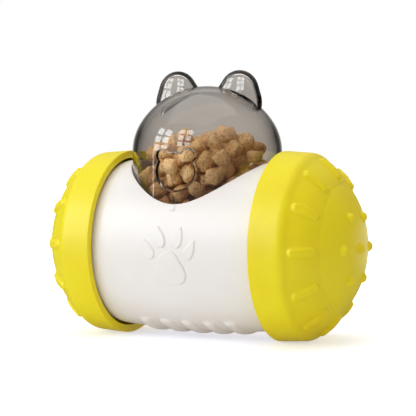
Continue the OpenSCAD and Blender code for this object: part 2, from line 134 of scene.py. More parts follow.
def swell(distance: np.ndarray, reach: float, height: float, edge: float) -> np.ndarray:
    """Height of a boss with a flat top: height (1 - (1 - t)^2), with t = (reach - d) / edge up to 1.

    Args:
        distance: Distance of each point from the boss's middle line.
        reach: Distance at which the boss ends.
        height: Height of the flat top.
        edge: Width of the rounded edge.

    Returns:
        The height at each point, 0 outside the boss.
    """
    t = np.clip((reach - distance) / edge, 0.0, 1.0)
    return height * (1.0 - (1.0 - t) ** 2)


@dataclass(frozen=True)
class Corner:
    """Corner of a section in (radius, height), its rounding, and the spans to the next one."""

    r: float
    h: float
    rounding: float = 0.0
    spans: int = 1


def corner_arc(before: np.ndarray, spot: np.ndarray, after: np.ndarray, radius: float) -> np.ndarray:
    """Rounds a corner with the circle that touches both of its sides.

    Args:
        before: Corner before this one.
        spot: The corner.
        after: Corner after this one.
        radius: Radius of the rounding, 0 for a sharp corner.

    Returns:
        Points from one side to the other, shape (n, 2).
    """
    if radius <= 0.0:
        return spot[None]
    back = (before - spot) / np.linalg.norm(before - spot)
    ahead = (after - spot) / np.linalg.norm(after - spot)
    half = 0.5 * math.acos(float(np.clip(back @ ahead, -1.0, 1.0)))
    middle = (back + ahead) / np.linalg.norm(back + ahead)
    centre = spot + middle * radius / math.sin(half)
    arm = spot + back * radius / math.tan(half) - centre
    end = spot + ahead * radius / math.tan(half) - centre
    sweep = math.pi - 2.0 * half
    way = math.copysign(1.0, arm[0] * end[1] - arm[1] * end[0])
    turn = np.linspace(0.0, way * sweep, math.ceil(sweep / ARC_STEP) + 1)[:, None]
    across = np.array([-arm[1], arm[0]])
    return centre + arm * np.cos(turn) + across * np.sin(turn)


def trace(corners: Sequence[Corner], closed: bool) -> np.ndarray:
    """Walks round a section: arcs at its corners, and straight stretches split evenly.

    Args:
        corners: The corners in order.
        closed: True to walk back to the first corner.

    Returns:
        Points (radius, height) along the section, shape (n, 2).
    """
    spots = np.array([(c.r, c.h) for c in corners])
    count = len(corners)
    arcs = []
    for i, corner in enumerate(corners):
        ends_here = not closed and i in (0, count - 1)
        rounding = 0.0 if ends_here else corner.rounding
        arcs.append(corner_arc(spots[i - 1], spots[i], spots[(i + 1) % count], rounding))
    rows = []
    for i, arc in enumerate(arcs):
        rows.append(arc)
        if closed or i + 1 < count:
            t = np.linspace(0.0, 1.0, corners[i].spans + 1)[1:-1, None]
            rows.append(arc[-1] * (1.0 - t) + arcs[(i + 1) % count][0] * t)
    return np.concatenate(rows)


class Skin:
    """Grids of points in millimetres that together become one mesh."""

    def __init__(self) -> None:
        """Starts with no grid."""
        self.points: list[np.ndarray] = []
        self.quads: list[np.ndarray] = []
        self.count = 0

    def add(self, grid: np.ndarray, around: bool = False, turned: bool = False) -> None:
        """Adds a grid, or a stack of grids, of points.

        Args:
            grid: Points, shape (..., rows, columns, 3).
            around: True to join the last column to the first.
            turned: True to face the grid the other way.
        """
        index = np.arange(grid[..., 0].size).reshape(grid.shape[:-1]) + self.count
        if around:
            index = np.concatenate([index, index[..., :1]], axis=-1)
        ring = [index[..., :-1, :-1], index[..., :-1, 1:], index[..., 1:, 1:], index[..., 1:, :-1]]
        quads = np.stack(ring[::-1] if turned else ring, axis=-1).reshape(-1, 4)
        self.points.append(grid.reshape(-1, 3))
        self.quads.append(quads)
        self.count += grid[..., 0].size

    def to_object(
        self, name: str, crease: float = 40.0, marks: Mapping[str, np.ndarray] | None = None
    ) -> bpy.types.Object:
        """Makes the mesh, closes its seams and poles, and turns its faces outwards.

        Args:
            name: Name of the piece.
            crease: Angle between faces, in degrees, above which an edge is drawn sharp.
            marks: Values to store on the points, by attribute name.

        Returns:
            The piece, linked to the scene.
        """
        points = np.concatenate(self.points) * MM
        quads = np.concatenate(self.quads)
        mesh = bpy.data.meshes.new(name)
        mesh.vertices.add(len(points))
        mesh.vertices.foreach_set("co", points.astype(np.float32).ravel())
        mesh.loops.add(quads.size)
        mesh.loops.foreach_set("vertex_index", quads.astype(np.int32).ravel())
        mesh.polygons.add(len(quads))
        mesh.polygons.foreach_set("loop_start", np.arange(0, quads.size, 4, dtype=np.int32))
        mesh.update(calc_edges=True)
        for key, values in (marks or {}).items():
            mesh.attributes.new(key, "FLOAT", "POINT").data.foreach_set("value", values)
        work = bmesh.new()
        work.from_mesh(mesh)
        bmesh.ops.remove_doubles(work, verts=work.verts, dist=MERGE_MM * MM)
        bmesh.ops.dissolve_degenerate(work, edges=work.edges, dist=MERGE_MM * MM)
        if work.calc_volume(signed=True) < 0.0:
            bmesh.ops.reverse_faces(work, faces=work.faces)
        work.to_mesh(mesh)
        work.free()
        shade(mesh, crease)
        piece = bpy.data.objects.new(name, mesh)
        bpy.context.scene.collection.objects.link(piece)
        return piece


def shade(mesh: bpy.types.Mesh, crease: float) -> None:
    """Shades a mesh smooth, apart from edges over crease degrees."""
    mesh.shade_smooth()
    mesh.set_sharp_from_angle(angle=math.radians(crease))


def combine(piece: bpy.types.Object, tool: bpy.types.Object, cut: Cut) -> None:
    """Joins a tool to a piece or takes it away, and removes the tool.

    Args:
        piece: The piece to work on; its mesh is exchanged for the result.
        tool: A closed mesh.
        cut: What the tool does.
    """
    step = piece.modifiers.new("cut", "BOOLEAN")
    step.object = tool
    step.operation = cut.value
    step.solver = "EXACT"
    graph = bpy.context.evaluated_depsgraph_get()
    result = bpy.data.meshes.new_from_object(piece.evaluated_get(graph))
    piece.modifiers.clear()
    spent = [piece.data, tool.data]
    piece.data = result
    bpy.data.objects.remove(tool)
    for mesh in spent:
        bpy.data.meshes.remove(mesh)


def revolve_on_axle(section: np.ndarray, turns: np.ndarray, axle_z: float, side: Side) -> np.ndarray:
    """Carries a section round the axle: (x, y, z) = (h, r sin t, axle + r cos t).

    Args:
        section: Points (radius, distance along the axle), shape (rows, 2) or (rows, columns, 2).
        turns: Angles from the top towards the back, shape (columns,).
        axle_z: Height of the axle.
        side: End of the toy that the distance runs to.

    Returns:
        Points, shape (rows, columns, 3).
    """
    grid = section if section.ndim == 3 else np.repeat(section[:, None], len(turns), axis=1)
    radius, along = grid[..., 0], grid[..., 1]
    return np.stack(
        [side.value * along, radius * np.sin(turns), axle_z + radius * np.cos(turns)], axis=-1
    )


def revolve_upright(section: np.ndarray, turns: np.ndarray) -> np.ndarray:
    """Carries a section round the dome's axis: (x, y, z) = (r cos t, r sin t, h).

    Args:
        section: Points (radius, height), shape (rows, 2) or (rows, columns, 2).
        turns: Angles from +X towards +Y, shape (columns,).

    Returns:
        Points, shape (rows, columns, 3).
    """
    grid = section if section.ndim == 3 else np.repeat(section[:, None], len(turns), axis=1)
    radius, height = grid[..., 0], grid[..., 1]
    return np.stack([radius * np.cos(turns), radius * np.sin(turns), height], axis=-1)


def full_turn(columns: int) -> np.ndarray:
    """Evenly spaced angles of a whole turn, without the last one."""
    return np.linspace(0.0, 2.0 * math.pi, columns, endpoint=False)


def fill(node: bpy.types.Node, inputs: Mapping[str | int, Filling]) -> None:
    """Fills inputs of a node with values, or links them from sockets.

    Args:
        node: The node.
        inputs: Values, or sockets to link from, by input name or number.
    """
    for key, value in inputs.items():
        if isinstance(value, bpy.types.NodeSocket):
            node.id_data.links.new(value, node.inputs[key])
        else:
            node.inputs[key].default_value = value


def add_node(
    tree: bpy.types.NodeTree,
    kind: str,
    inputs: Mapping[str | int, Filling] | None = None,
    settings: Mapping[str, object] | None = None,
) -> bpy.types.Node:
    """Adds a shader node, sets its properties, and fills or links its inputs.

    Args:
        tree: Node tree to add it to.
        kind: Blender's type name for the node.
        inputs: Values, or sockets to link from, by input name or number.
        settings: Properties of the node.

    Returns:
        The node.
    """
    node = tree.nodes.new(kind)
    for key, value in (settings or {}).items():
        setattr(node, key, value)
    fill(node, inputs or {})
    return node


def new_group(
    name: str, takes: Mapping[str, str], gives: Mapping[str, str]
) -> tuple[bpy.types.NodeTree, bpy.types.Node, bpy.types.Node]:
    """Starts a shader node group.

    Args:
        name: Name of the group.
        takes: Socket kind of each input, by name.
        gives: Socket kind of each output, by name.

    Returns:
        The group, its input node and its output node.
    """
    group = bpy.data.node_groups.new(name, "ShaderNodeTree")
    for key, kind in takes.items():
        group.interface.new_socket(name=key, in_out="INPUT", socket_type=kind)
    for key, kind in gives.items():
        group.interface.new_socket(name=key, in_out="OUTPUT", socket_type=kind)
    return group, group.nodes.new("NodeGroupInput"), group.nodes.new("NodeGroupOutput")


def blend_node(
    tree: bpy.types.NodeTree, share: Filling, first: Filling, second: Filling
) -> bpy.types.NodeSocket:
    """Mixes two colours.

    Args:
        tree: Node tree to work in.
        share: Share of the second colour.
        first: Colour at 0.
        second: Colour at 1.

    Returns:
        The mixed colour's socket.
    """
    ends = [c if isinstance(c, bpy.types.NodeSocket) else (*c, 1.0) for c in (first, second)]
    node = add_node(tree, "ShaderNodeMix", {0: share, 6: ends[0], 7: ends[1]}, {"data_type": "RGBA"})
    return node.outputs[2]


def map_node(
    tree: bpy.types.NodeTree, value: Filling, low: float, high: float, to_low: Filling, to_high: Filling
) -> bpy.types.NodeSocket:
    """Maps a value from one range to another, held at both ends.

    Args:
        tree: Node tree to work in.
        value: The value.
        low: Value that maps to to_low.
        high: Value that maps to to_high.
        to_low: Lower end of the new range.
        to_high: Upper end of the new range.

    Returns:
        The mapped value's socket.
    """
    ends = {1: low, 2: high, 3: to_low, 4: to_high}
    return add_node(tree, "ShaderNodeMapRange", {0: value, **ends}).outputs[0]


def math_node(
    tree: bpy.types.NodeTree, operation: str, first: Filling, second: Filling
) -> bpy.types.NodeSocket:
    """Adds a math node of one operation and gives its result."""
    return add_node(tree, "ShaderNodeMath", {0: first, 1: second}, {"operation": operation}).outputs[0]


def noise_node(
    tree: bpy.types.NodeTree, vector: Filling, scale: Filling, detail: float
) -> bpy.types.NodeSocket:
    """Adds a noise texture and gives its value."""
    inputs = {"Vector": vector, "Scale": scale, "Detail": detail}
    return add_node(tree, "ShaderNodeTexNoise", inputs).outputs[0]


def bump_node(tree: bpy.types.NodeTree, height: Filling, deep_mm: float) -> bpy.types.NodeSocket:
    """Adds a bump of a depth in millimetres and gives its normal."""
    return add_node(tree, "ShaderNodeBump", {"Height": height, "Distance": deep_mm * MM}).outputs[0]


def mould_grain() -> bpy.types.NodeTree:
    """Builds the group for the fine spark-eroded grain that a mould leaves on plastic.

    Returns:
        A group that takes object coordinates, a colour, its deeper shade, a roughness and the
        grain's cells per metre, and gives a faintly clouded colour, roughness and grain height.
    """
    group, takes, gives = new_group(
        "Mould grain",
        {"Vector": VECTOR, "Colour": COLOUR, "Shade": COLOUR, "Roughness": VALUE, "Cells": VALUE},
        {"Colour": COLOUR, "Roughness": VALUE, "Height": VALUE},
    )
    vector = takes.outputs["Vector"]
    grain = noise_node(group, vector, takes.outputs["Cells"], 2.0)
    cloud = noise_node(group, vector, CLOUDS_PER_M, 3.0)
    clouded = map_node(group, cloud, 0.42, 0.72, 0.0, 0.55)
    speck = map_node(group, grain, 0.50, 0.75, 0.0, 0.35)
    share = math_node(group, "MAXIMUM", clouded, speck)
    tint = blend_node(group, share, takes.outputs["Colour"], takes.outputs["Shade"])
    spread = map_node(group, grain, 0.3, 0.7, -0.05, 0.07)
    rough = math_node(group, "ADD", takes.outputs["Roughness"], spread)
    fill(gives, {"Colour": tint, "Roughness": rough, "Height": grain})
    return group


def new_material(
    name: str,
) -> tuple[bpy.types.Material, bpy.types.NodeTree, bpy.types.Node, bpy.types.Node]:
    """Starts a material with nothing but its output and its principled shader.

    Args:
        name: Name of the finish.

    Returns:
        The material, its node tree, its shader and its output node.
    """
    material = bpy.data.materials.new(name)
    material.use_nodes = True
    tree = material.node_tree
    tree.nodes.clear()
    out = tree.nodes.new("ShaderNodeOutputMaterial")
    shader = tree.nodes.new("ShaderNodeBsdfPrincipled")
    tree.links.new(shader.outputs[0], out.inputs["Surface"])
    return material, tree, shader, out


@dataclass(frozen=True)
class MouldedFinish:
    """Moulded plastic or metal: a colour, a deeper shade, and the grain of its mould."""

    name: str
    colour: Colour
    shade: Colour
    roughness: float
    cells: float = 2600.0
    grain_mm: float = 0.012
    metallic: float = 0.0
    subsurface: float = 0.0
    scatter: Colour = (1.0, 0.8, 0.6)
    scatter_mm: float = 1.2
    specular: float = 0.5

    def material(self, grain: bpy.types.NodeTree) -> bpy.types.Material:
        """Makes the material.

        Args:
            grain: The shared mould grain group.

        Returns:
            The material.
        """
        material, tree, shader, _ = new_material(self.name)
        coords = tree.nodes.new("ShaderNodeTexCoord").outputs["Object"]
        group = add_node(tree, "ShaderNodeGroup", settings={"node_tree": grain})
        values = {"Vector": coords, "Roughness": self.roughness, "Cells": self.cells}
        fill(group, {**values, "Colour": (*self.colour, 1.0), "Shade": (*self.shade, 1.0)})
        fill(
            shader,
            {
                "Base Color": group.outputs["Colour"],
                "Roughness": group.outputs["Roughness"],
                "Normal": bump_node(tree, group.outputs["Height"], self.grain_mm),
                "Metallic": self.metallic,
                "Specular IOR Level": self.specular,
                "Subsurface Weight": self.subsurface,
                "Subsurface Radius": self.scatter,
                "Subsurface Scale": self.scatter_mm * MM,
            },
        )
        return material


@dataclass(frozen=True)
class SmokeClearFinish:
    """Clear plastic with a smoky body colour: thicker walls and grazing views look darker."""

    name: str = "smoke_clear_plastic"
    ior: float = 1.5
    roughness: float = 0.0
    density: float = 170.0
    body: Colour = (0.49, 0.385, 0.25)
    shadow: Colour = WHITE
    ripples: float = 55.0
    ripple_mm: float = 0.02

    def material(self) -> bpy.types.Material:
        """Makes the material: clear shader, absorbing body, and a surface that shadow rays pass.

        Returns:
            The material.
        """
        material, tree, shader, out = new_material(self.name)
        coords = tree.nodes.new("ShaderNodeTexCoord").outputs["Object"]
        ripple = noise_node(tree, coords, self.ripples, 1.0)
        fill(
            shader,
            {
                "Base Color": (*WHITE, 1.0),
                "Roughness": self.roughness,
                "IOR": self.ior,
                "Transmission Weight": 1.0,
                "Normal": bump_node(tree, ripple, self.ripple_mm),
            },
        )
        clear = add_node(tree, "ShaderNodeBsdfTransparent", {"Color": (*self.shadow, 1.0)})
        shadow_ray = tree.nodes.new("ShaderNodeLightPath").outputs["Is Shadow Ray"]
        mix = add_node(
            tree, "ShaderNodeMixShader", {0: shadow_ray, 1: shader.outputs[0], 2: clear.outputs[0]}
        )
        body = add_node(
            tree, "ShaderNodeVolumeAbsorption", {"Color": (*self.body, 1.0), "Density": self.density}
        )
        fill(out, {"Surface": mix.outputs[0], "Volume": body.outputs[0]})
        return material


@dataclass(frozen=True)
class BakedFinish:
    """Baked kibble: pitted crust, paler higher up by painted top light, each piece baked a little
    differently.
    """

    name: str = "baked_kibble"
    crust: Colour = srgb(196, 144, 93)
    pale: Colour = srgb(255, 214, 154)
    dark: Colour = srgb(158, 103, 57)
    crumbs: float = 900.0
    blotches: float = 210.0
    pits: float = 620.0
    crumb_mm: float = 0.7
    specular: float = 0.25

    def material(self) -> bpy.types.Material:
        """Makes the material.

        Returns:
            The material.
        """
        material, tree, shader, _ = new_material(self.name)
        coords = tree.nodes.new("ShaderNodeTexCoord").outputs["Object"]
        # The mark's painted top light and random bake mix crust towards pale.
        bake = add_node(tree, "ShaderNodeAttribute", settings={"attribute_name": BAKE_AND_PAINTED_LIGHT}).outputs["Fac"]
        crumb = noise_node(tree, coords, self.crumbs, 5.0)
        blotch = noise_node(tree, coords, self.blotches, 2.0)
        pits = add_node(tree, "ShaderNodeTexVoronoi", {"Vector": coords, "Scale": self.pits})
        whole = blend_node(tree, bake, self.crust, self.pale)
        scorch = map_node(tree, blotch, 0.5, 0.76, 0.0, 0.6)
        scorched = blend_node(tree, scorch, whole, self.dark)
        speck = map_node(tree, crumb, 0.52, 0.74, 0.0, 0.6)
        specked = blend_node(tree, speck, scorched, self.dark)
        dents = map_node(tree, pits.outputs["Distance"], 0.0, 0.4, 0.0, 1.0)
        height = math_node(tree, "ADD", dents, crumb)
        fill(
            shader,
            {
                "Base Color": specked,
                "Roughness": map_node(tree, crumb, 0.3, 0.7, 0.72, 0.95),
                "Normal": bump_node(tree, height, self.crumb_mm),
                "Specular IOR Level": self.specular,
            },
        )
        return material


def settle(
    piece: bpy.types.Object, material: bpy.types.Material, body: str, slot: str, *nodes: str
) -> None:
    """Dresses a piece, puts it on its CAD body, and lets it stand for its CAD nodes.

    Args:
        piece: The piece.
        material: Its finish.
        body: CAD body that it moves with.
        slot: The record's material slot; not used.
        *nodes: CAD nodes that it stands for.
    """
    piece.data.materials.clear()
    piece.data.materials.append(material)
    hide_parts(*nodes)
    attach(piece, body)
    LOG.info("%s: %d faces, rides on %s", piece.name, len(piece.data.polygons), body)


@dataclass
class CupWheel:
    """One cup wheel with its hub cap: lip, tread band, rounded edge, ribbed slope, domed cap."""

    side: Side
    wall: float = 3.0
    lip_wall: float = 3.9
    tread_edge_r: float = 6.0
    tread_fall: float = 1.0
    band_w: float = 13.3
    slope_crown: float = 1.0
    seat_in: float = 1.1
    cap_power: float = 2.5
    cap_step: float = 0.25
    cap_step_w: float = 0.7
    recess_in: float = 2.0
    lip_round: float = 0.6
    seat_round: float = 0.45
    web_face: float = 68.6
    web_t: float = 2.6
    hub_start: float = 55.1
    bore_r: float = 7.06
    hub_wall: float = 3.5
    rib_count: int = 12
    rib_w: float = 5.0
    rib_h: float = 1.6
    rib_len: float = 15.4
    rib_edge: float = 1.2
    nub_r: float = 2.8
    nub_h: float = 2.1
    nub_edge: float = 2.4
    nub_ring_r: float = 17.4
    nub_count: int = 6
    cap_wall: float = 2.2
    plug_in: float = 2.15
    plug_wall: float = 2.0
    plug_gap: float = 0.15
    recess_round: float = 0.6
    web_round: float = 1.0
    hub_round: float = 0.4
    columns: int = 540
    slope_spans: int = 60
    cap_rows: int = 100
    cap_columns: int = 360
    hollow_rows: int = 24

    def __post_init__(self) -> None:
        """Reads the main sizes from the frame and works out the slope."""
        low, high = box_mm(f"wheel_{self.side.tag}")
        cap_low, cap_high = box_mm(f"hub_cap_{self.side.tag}")
        reach = np.sort(np.abs([low[0], high[0]]))
        self.radius = (high[2] - low[2]) / 2.0
        self.axle_z = (high[2] + low[2]) / 2.0
        self.lip_x, self.seat_x = reach - [0.0, self.seat_in]
        self.edge_r = self.radius - self.tread_fall
        self.cap_r = (cap_high[2] - cap_low[2]) / 2.0
        self.cap_tip = np.abs([cap_low[0], cap_high[0]]).max() - self.nub_h
        edge = np.array([self.edge_r - self.tread_edge_r, self.lip_x + self.band_w])
        seat = np.array([self.cap_r, self.seat_x])
        span = seat - edge
        angle = math.atan2(span[1], span[0]) - math.acos(self.tread_edge_r / np.linalg.norm(span))
        self.normal = np.array([math.cos(angle), math.sin(angle)])
        self.top = edge + self.tread_edge_r * self.normal
        self.slope_len = float(np.linalg.norm(seat - self.top))
        self.down = (seat - self.top) / self.slope_len

    def slope_at(self, inset: float, along: float) -> np.ndarray:
        """Point of the slope, taken in by inset, at a distance along the axle."""
        start = self.top - inset * self.normal
        return start + self.down * (along - start[1]) / self.down[1]

    def shoulder(self, inset: float) -> np.ndarray:
        """Point of the slope at the radius of the tread's outer edge, both taken in by inset."""
        start = self.top - inset * self.normal
        return start + self.down * (self.edge_r - inset - start[0]) / self.down[0]

    def section(self) -> np.ndarray:
        """Closed section of the cup: outside, cap seat, web, hub tube and inside.

        Returns:
            Points (radius, distance along the axle).
        """
        inner_r = self.radius - self.lip_wall
        web_in = self.web_face - self.web_t
        hub_r = self.bore_r + self.hub_wall
        recess_r = self.cap_r - self.recess_in
        shoulder = self.shoulder(0.0)
        inner_shoulder = self.shoulder(self.wall)
        inner_web = self.slope_at(self.wall, web_in)
        return trace(
            [
                Corner(inner_r, self.lip_x, self.lip_round, 2),
                Corner(self.radius, self.lip_x, self.lip_round, 4),
                Corner(shoulder[0], shoulder[1], self.tread_edge_r, self.slope_spans),
                Corner(self.cap_r, self.seat_x, self.seat_round, 2),
                Corner(recess_r, self.seat_x),
                Corner(recess_r, self.web_face, self.recess_round, 4),
                Corner(self.bore_r, self.web_face, self.hub_round, 2),
                Corner(self.bore_r, self.hub_start, self.hub_round),
                Corner(hub_r, self.hub_start, self.hub_round, 2),
                Corner(hub_r, web_in, 2.0 * self.hub_round, 4),
                Corner(inner_web[0], inner_web[1], self.web_round, 3),
                Corner(inner_shoulder[0], inner_shoulder[1], self.tread_edge_r - self.wall, 3),
            ],
            closed=True,
        )

    def relief(self, section: np.ndarray, turns: np.ndarray) -> np.ndarray:
        """Height of the slope's crown and of its ribs.

        With t from 0 at the tread's edge to 1 at the cap, the crown is 3.375 t^2 (1 - t) +
        8 t^2 (1 - t)^2 times its height. A rib's height follows from the distance to its middle line.

        Args:
            section: Points (radius, distance along the axle).
            turns: Angles round the axle.

        Returns:
            Heights, shape (rows, columns); 0 off the slope.
        """
        offset = section - self.top
        along = offset @ self.down
        on_slope = np.abs(offset @ self.normal) < NEAR_MM
        pitch = 2.0 * math.pi / self.rib_count
        swing = (turns + pitch / 2.0) % pitch - pitch / 2.0
        across = section[:, :1] * swing[None]
        past = np.clip(np.abs(along - self.slope_len / 2.0) - (self.rib_len - self.rib_w) / 2.0, 0.0, None)
        ribs = swell(np.hypot(across, past[:, None]), self.rib_w / 2.0, self.rib_h, self.rib_edge)
        t = (along / self.slope_len)[:, None]
        crown = self.slope_crown * t**2 * (1.0 - t) * (3.375 + 8.0 * (1.0 - t))
        return (ribs + crown) * on_slope[:, None]

    def build_wheel(self) -> bpy.types.Object:
        """Makes the cup: its section carried round the axle, with crown and ribs raised on the slope.

        Returns:
            The piece.
        """
        turns = full_turn(self.columns)
        section = self.section()
        raised = section[:, None] + self.relief(section, turns)[..., None] * self.normal
        grid = revolve_on_axle(raised, turns, self.axle_z, self.side)
        skin = Skin()
        skin.add(np.concatenate([grid, grid[:1]]), around=True)
        return skin.to_object(f"cup_wheel_{self.side.tag}", crease=50.0)

    def nubs(self, radius: np.ndarray, turns: np.ndarray) -> np.ndarray:
        """Height of the nubs: one at the middle, and a ring with one to the front.

        Args:
            radius: Distance of each row from the axle.
            turns: Angles round the axle.

        Returns:
            Heights, shape (rows, columns).
        """
        pitch = 2.0 * math.pi / self.nub_count
        swing = (turns - math.pi / 2.0 + pitch / 2.0) % pitch - pitch / 2.0
        across = radius[:, None] * np.sin(swing)
        out = radius[:, None] * np.cos(swing) - self.nub_ring_r
        nearest = np.minimum(np.hypot(across, out), radius[:, None])
        return swell(nearest, self.nub_r, self.nub_h, self.nub_edge)

    def build_cap(self) -> bpy.types.Object:
        """Makes the hub cap: a full dome with nubs, its plug, and its hollow inside.

        The dome's height at radius r is rise (1 - (r / cap_r)^p), less a small step at its edge.
        The hollow is part of a ball.

        Returns:
            The piece.
        """
        rise = self.cap_tip - self.seat_x
        ball_r = (self.cap_r**2 + rise**2) / (2.0 * rise)
        centre = self.cap_tip - ball_r
        radius = np.linspace(0.0, self.cap_r, self.cap_rows)
        share = (radius / self.cap_r) ** self.cap_power
        step = self.cap_step * (1.0 - smooth_step((self.cap_r - radius) / self.cap_step_w))
        outside = np.stack([radius, self.seat_x + rise * (1.0 - share) - step], axis=1)
        turns = full_turn(self.cap_columns)
        lift = self.nubs(radius, turns)
        fall = self.cap_power * rise / self.cap_r * (radius / self.cap_r) ** (self.cap_power - 1.0)
        away = np.stack([fall, np.ones_like(fall)], axis=1) / np.hypot(fall, 1.0)[:, None]
        top = outside[:, None] + lift[..., None] * away[:, None]
        plug_r = self.cap_r - self.plug_in
        hollow_r = ball_r - self.cap_wall
        bore_r = plug_r - self.plug_wall
        plug_low = self.web_face + self.plug_gap
        inner = np.linspace(math.asin(bore_r / hollow_r), 0.0, self.hollow_rows)[:, None]
        under = np.concatenate(
            [
                [[plug_r, self.seat_x], [plug_r, plug_low], [bore_r, plug_low]],
                np.concatenate([hollow_r * np.sin(inner), centre + hollow_r * np.cos(inner)], axis=1),
            ]
        )
        below = np.repeat(under[:, None], len(turns), axis=1)
        skin = Skin()
        skin.add(revolve_on_axle(np.concatenate([top, below]), turns, self.axle_z, self.side), around=True)
        return skin.to_object(f"domed_cap_{self.side.tag}", crease=50.0)

    def dress(self, material: bpy.types.Material) -> None:
        """Builds the wheel and its cap and puts them on the wheel's body.

        Args:
            material: Their finish.
        """
        tag, body = self.side.tag, f"{self.side.tag}_wheel"
        settle(self.build_wheel(), material, body, "wheel_plastic", f"wheel_{tag}")
        settle(self.build_cap(), material, body, "wheel_plastic", f"hub_cap_{tag}")


@dataclass
class Barrel:
    """The barrel: round body with drawn-in ends, dome seat, paw relief, mark and grip bars."""

    side_x: float = 42.0
    side_r: float = 42.5
    side_fall: float = 4.812
    shoulder_r: float = 13.5
    mouth_thicker: float = 0.32
    axle_z: float = 47.5
    wall: float = 2.6
    seat_r: float = 38.5
    seat_wall: float = 2.0
    seat_round: float = 0.5
    ledge_z: float = 58.405
    ledge_w: float = 2.2
    ledge_t: float = 1.8
    relief_h: float = 0.72
    relief_edge: float = 0.5
    paw_drop: float = 3.2
    pad_r: float = 8.2
    pad_wave: float = 0.12
    pad_drop: float = 6.9
    toe_half: tuple[float, float] = (3.4, 5.3)
    toes: tuple[Place, ...] = ((5.0, 9.0, 15.0), (11.4, 3.1, 27.0))
    mark_rise: float = 19.6
    mark_foot: float = 1.2
    mark_tip: float = 1.3
    mark_slope: float = 0.55
    mark_ease: float = 0.9
    bar_h: float = 1.4
    bar_w: float = 7.4
    bar_edge: float = 3.0
    bar_pitch: float = 11.8
    bar_count: int = 5
    bar_reach: float = 22.0
    patch_x: float = 42.0
    patch_angle: float = 84.0
    frame_near: float = 0.35
    frame_rows: tuple[int, int] = (18, 25)
    upper_rows: int = 48
    end_rows: int = 10
    rim_rows: int = 7
    rim_clear: float = 1.3

    def __post_init__(self) -> None:
        """Reads the barrel's length from the frame and works out its crown and end arcs."""
        low, high = box_mm("barrel_shell")
        self.end_x = (high[0] - low[0]) / 2.0
        fall = math.radians(self.side_fall)
        self.crown = self.side_x * math.tan(fall) / 2.0
        self.radius = self.side_r + self.crown
        self.arc_r = self.side_r - self.shoulder_r * math.cos(fall)
        self.arc_x = self.side_x - self.shoulder_r * math.sin(fall)

    def girth(self, x: np.ndarray, inset: float) -> np.ndarray:
        """Radius of the body at x: a crowned middle, then an arc that draws each end in.

        r = radius - crown (x / side_x)^2 up to side_x, then arc_r + sqrt(shoulder_r^2 - (x - arc_x)^2).

        Args:
            x: Places along the axle.
            inset: Depth below the outside, which grows by a share of itself towards each mouth.

        Returns:
            The radius at each place.
        """
        out = np.abs(x)
        middle = self.radius - self.crown * (out / self.side_x) ** 2
        past = np.clip(out - self.arc_x, 0.0, None)
        end = self.arc_r + np.sqrt(self.shoulder_r**2 - past**2)
        share = np.clip((out - self.side_x) / (self.end_x - self.side_x), 0.0, 1.0)
        return np.where(out <= self.side_x, middle, end) - inset * (1.0 + self.mouth_thicker * share)

    def place(self, x: np.ndarray, swing: np.ndarray, inset: float) -> np.ndarray:
        """Point of the body at x and an angle from the top towards the front.

        (x, y, z) = (x, -r sin a, axle + r cos a), with r raised by the relief on the outside.

        Args:
            x: Places along the axle.
            swing: Angles in radians.
            inset: Depth below the outside.

        Returns:
            Points, with a last axis of 3.
        """
        r = self.girth(x, inset)
        if inset == 0.0:
            r = r + self.relief(x, swing)
        return np.stack([x, -r * np.sin(swing), self.axle_z + r * np.cos(swing)], axis=-1)

    def relief(self, x: np.ndarray, swing: np.ndarray) -> np.ndarray:
        """Height of paw, index mark and grip bars.

        Args:
            x: Places along the axle.
            swing: Angles from the top towards the front.

        Returns:
            The height at each place.
        """
        up = self.girth(x, 0.0) * np.cos(swing)
        front = np.sin(swing) > 0.0
        inside = np.maximum(self.paw(x, up + self.paw_drop), self.index_mark(x, up - self.mark_rise))
        plate = self.relief_h * smooth_step(inside / self.relief_edge + 0.5) * front
        return np.maximum(plate, self.bars(x, swing))

    def paw(self, x: np.ndarray, up: np.ndarray) -> np.ndarray:
        """Depth inside a common paw print: one pad of three soft corners and four drop toes.

        The pad's edge is r = pad_r (1 + pad_wave cos 3a), and a toe's half width is
        w sin t sin(t / 2) at v = l cos t along it. A toe has its place out and up, and its lean.

        Args:
            x: Places across the print.
            up: Places up the print.

        Returns:
            Distance inside the nearest edge, below 0 outside.
        """
        high = up + self.pad_drop
        angle = np.arctan2(high, x)
        edge = self.pad_r * (1.0 + self.pad_wave * np.cos(3.0 * (angle - math.pi / 2.0)))
        depth = edge - np.hypot(x, high)
        wide, tall = self.toe_half
        for side in (-1.0, 1.0):
            for out, lift, lean in self.toes:
                turn = math.radians(side * lean)
                dx, dz = x - side * out, up - lift
                across = dx * math.cos(turn) - dz * math.sin(turn)
                along = dx * math.sin(turn) + dz * math.cos(turn)
                t = np.arccos(np.clip(along / tall, -1.0, 1.0))
                toe = wide * np.sin(t) * np.sin(t / 2.0) - np.abs(across)
                depth = np.maximum(depth, np.where(np.abs(along) < tall, toe, -1.0))
        return depth

    def index_mark(self, x: np.ndarray, up: np.ndarray) -> np.ndarray:
        """Depth inside a small triangle that points up to the dome's seat."""
        sides = (self.mark_tip - up) * self.mark_slope - np.abs(x)
        return np.minimum(up + self.mark_foot, sides) * self.mark_ease

    def bars(self, x: np.ndarray, swing: np.ndarray) -> np.ndarray:
        """Height of the grip bars: round-topped bars with ball ends that run round the underside.

        Args:
            x: Places along the axle.
            swing: Angles from the top towards the front.

        Returns:
            The height at each place.
        """
        nearest = np.clip(np.round(x / self.bar_pitch), -(self.bar_count // 2), self.bar_count // 2)
        across = x - nearest * self.bar_pitch
        half_arc = math.asin(self.bar_reach / self.radius)
        past = np.clip(np.abs(swing - math.pi) - half_arc, 0.0, None) * self.radius
        return swell(np.hypot(across, past), self.bar_w / 2.0, self.bar_h, self.bar_edge)

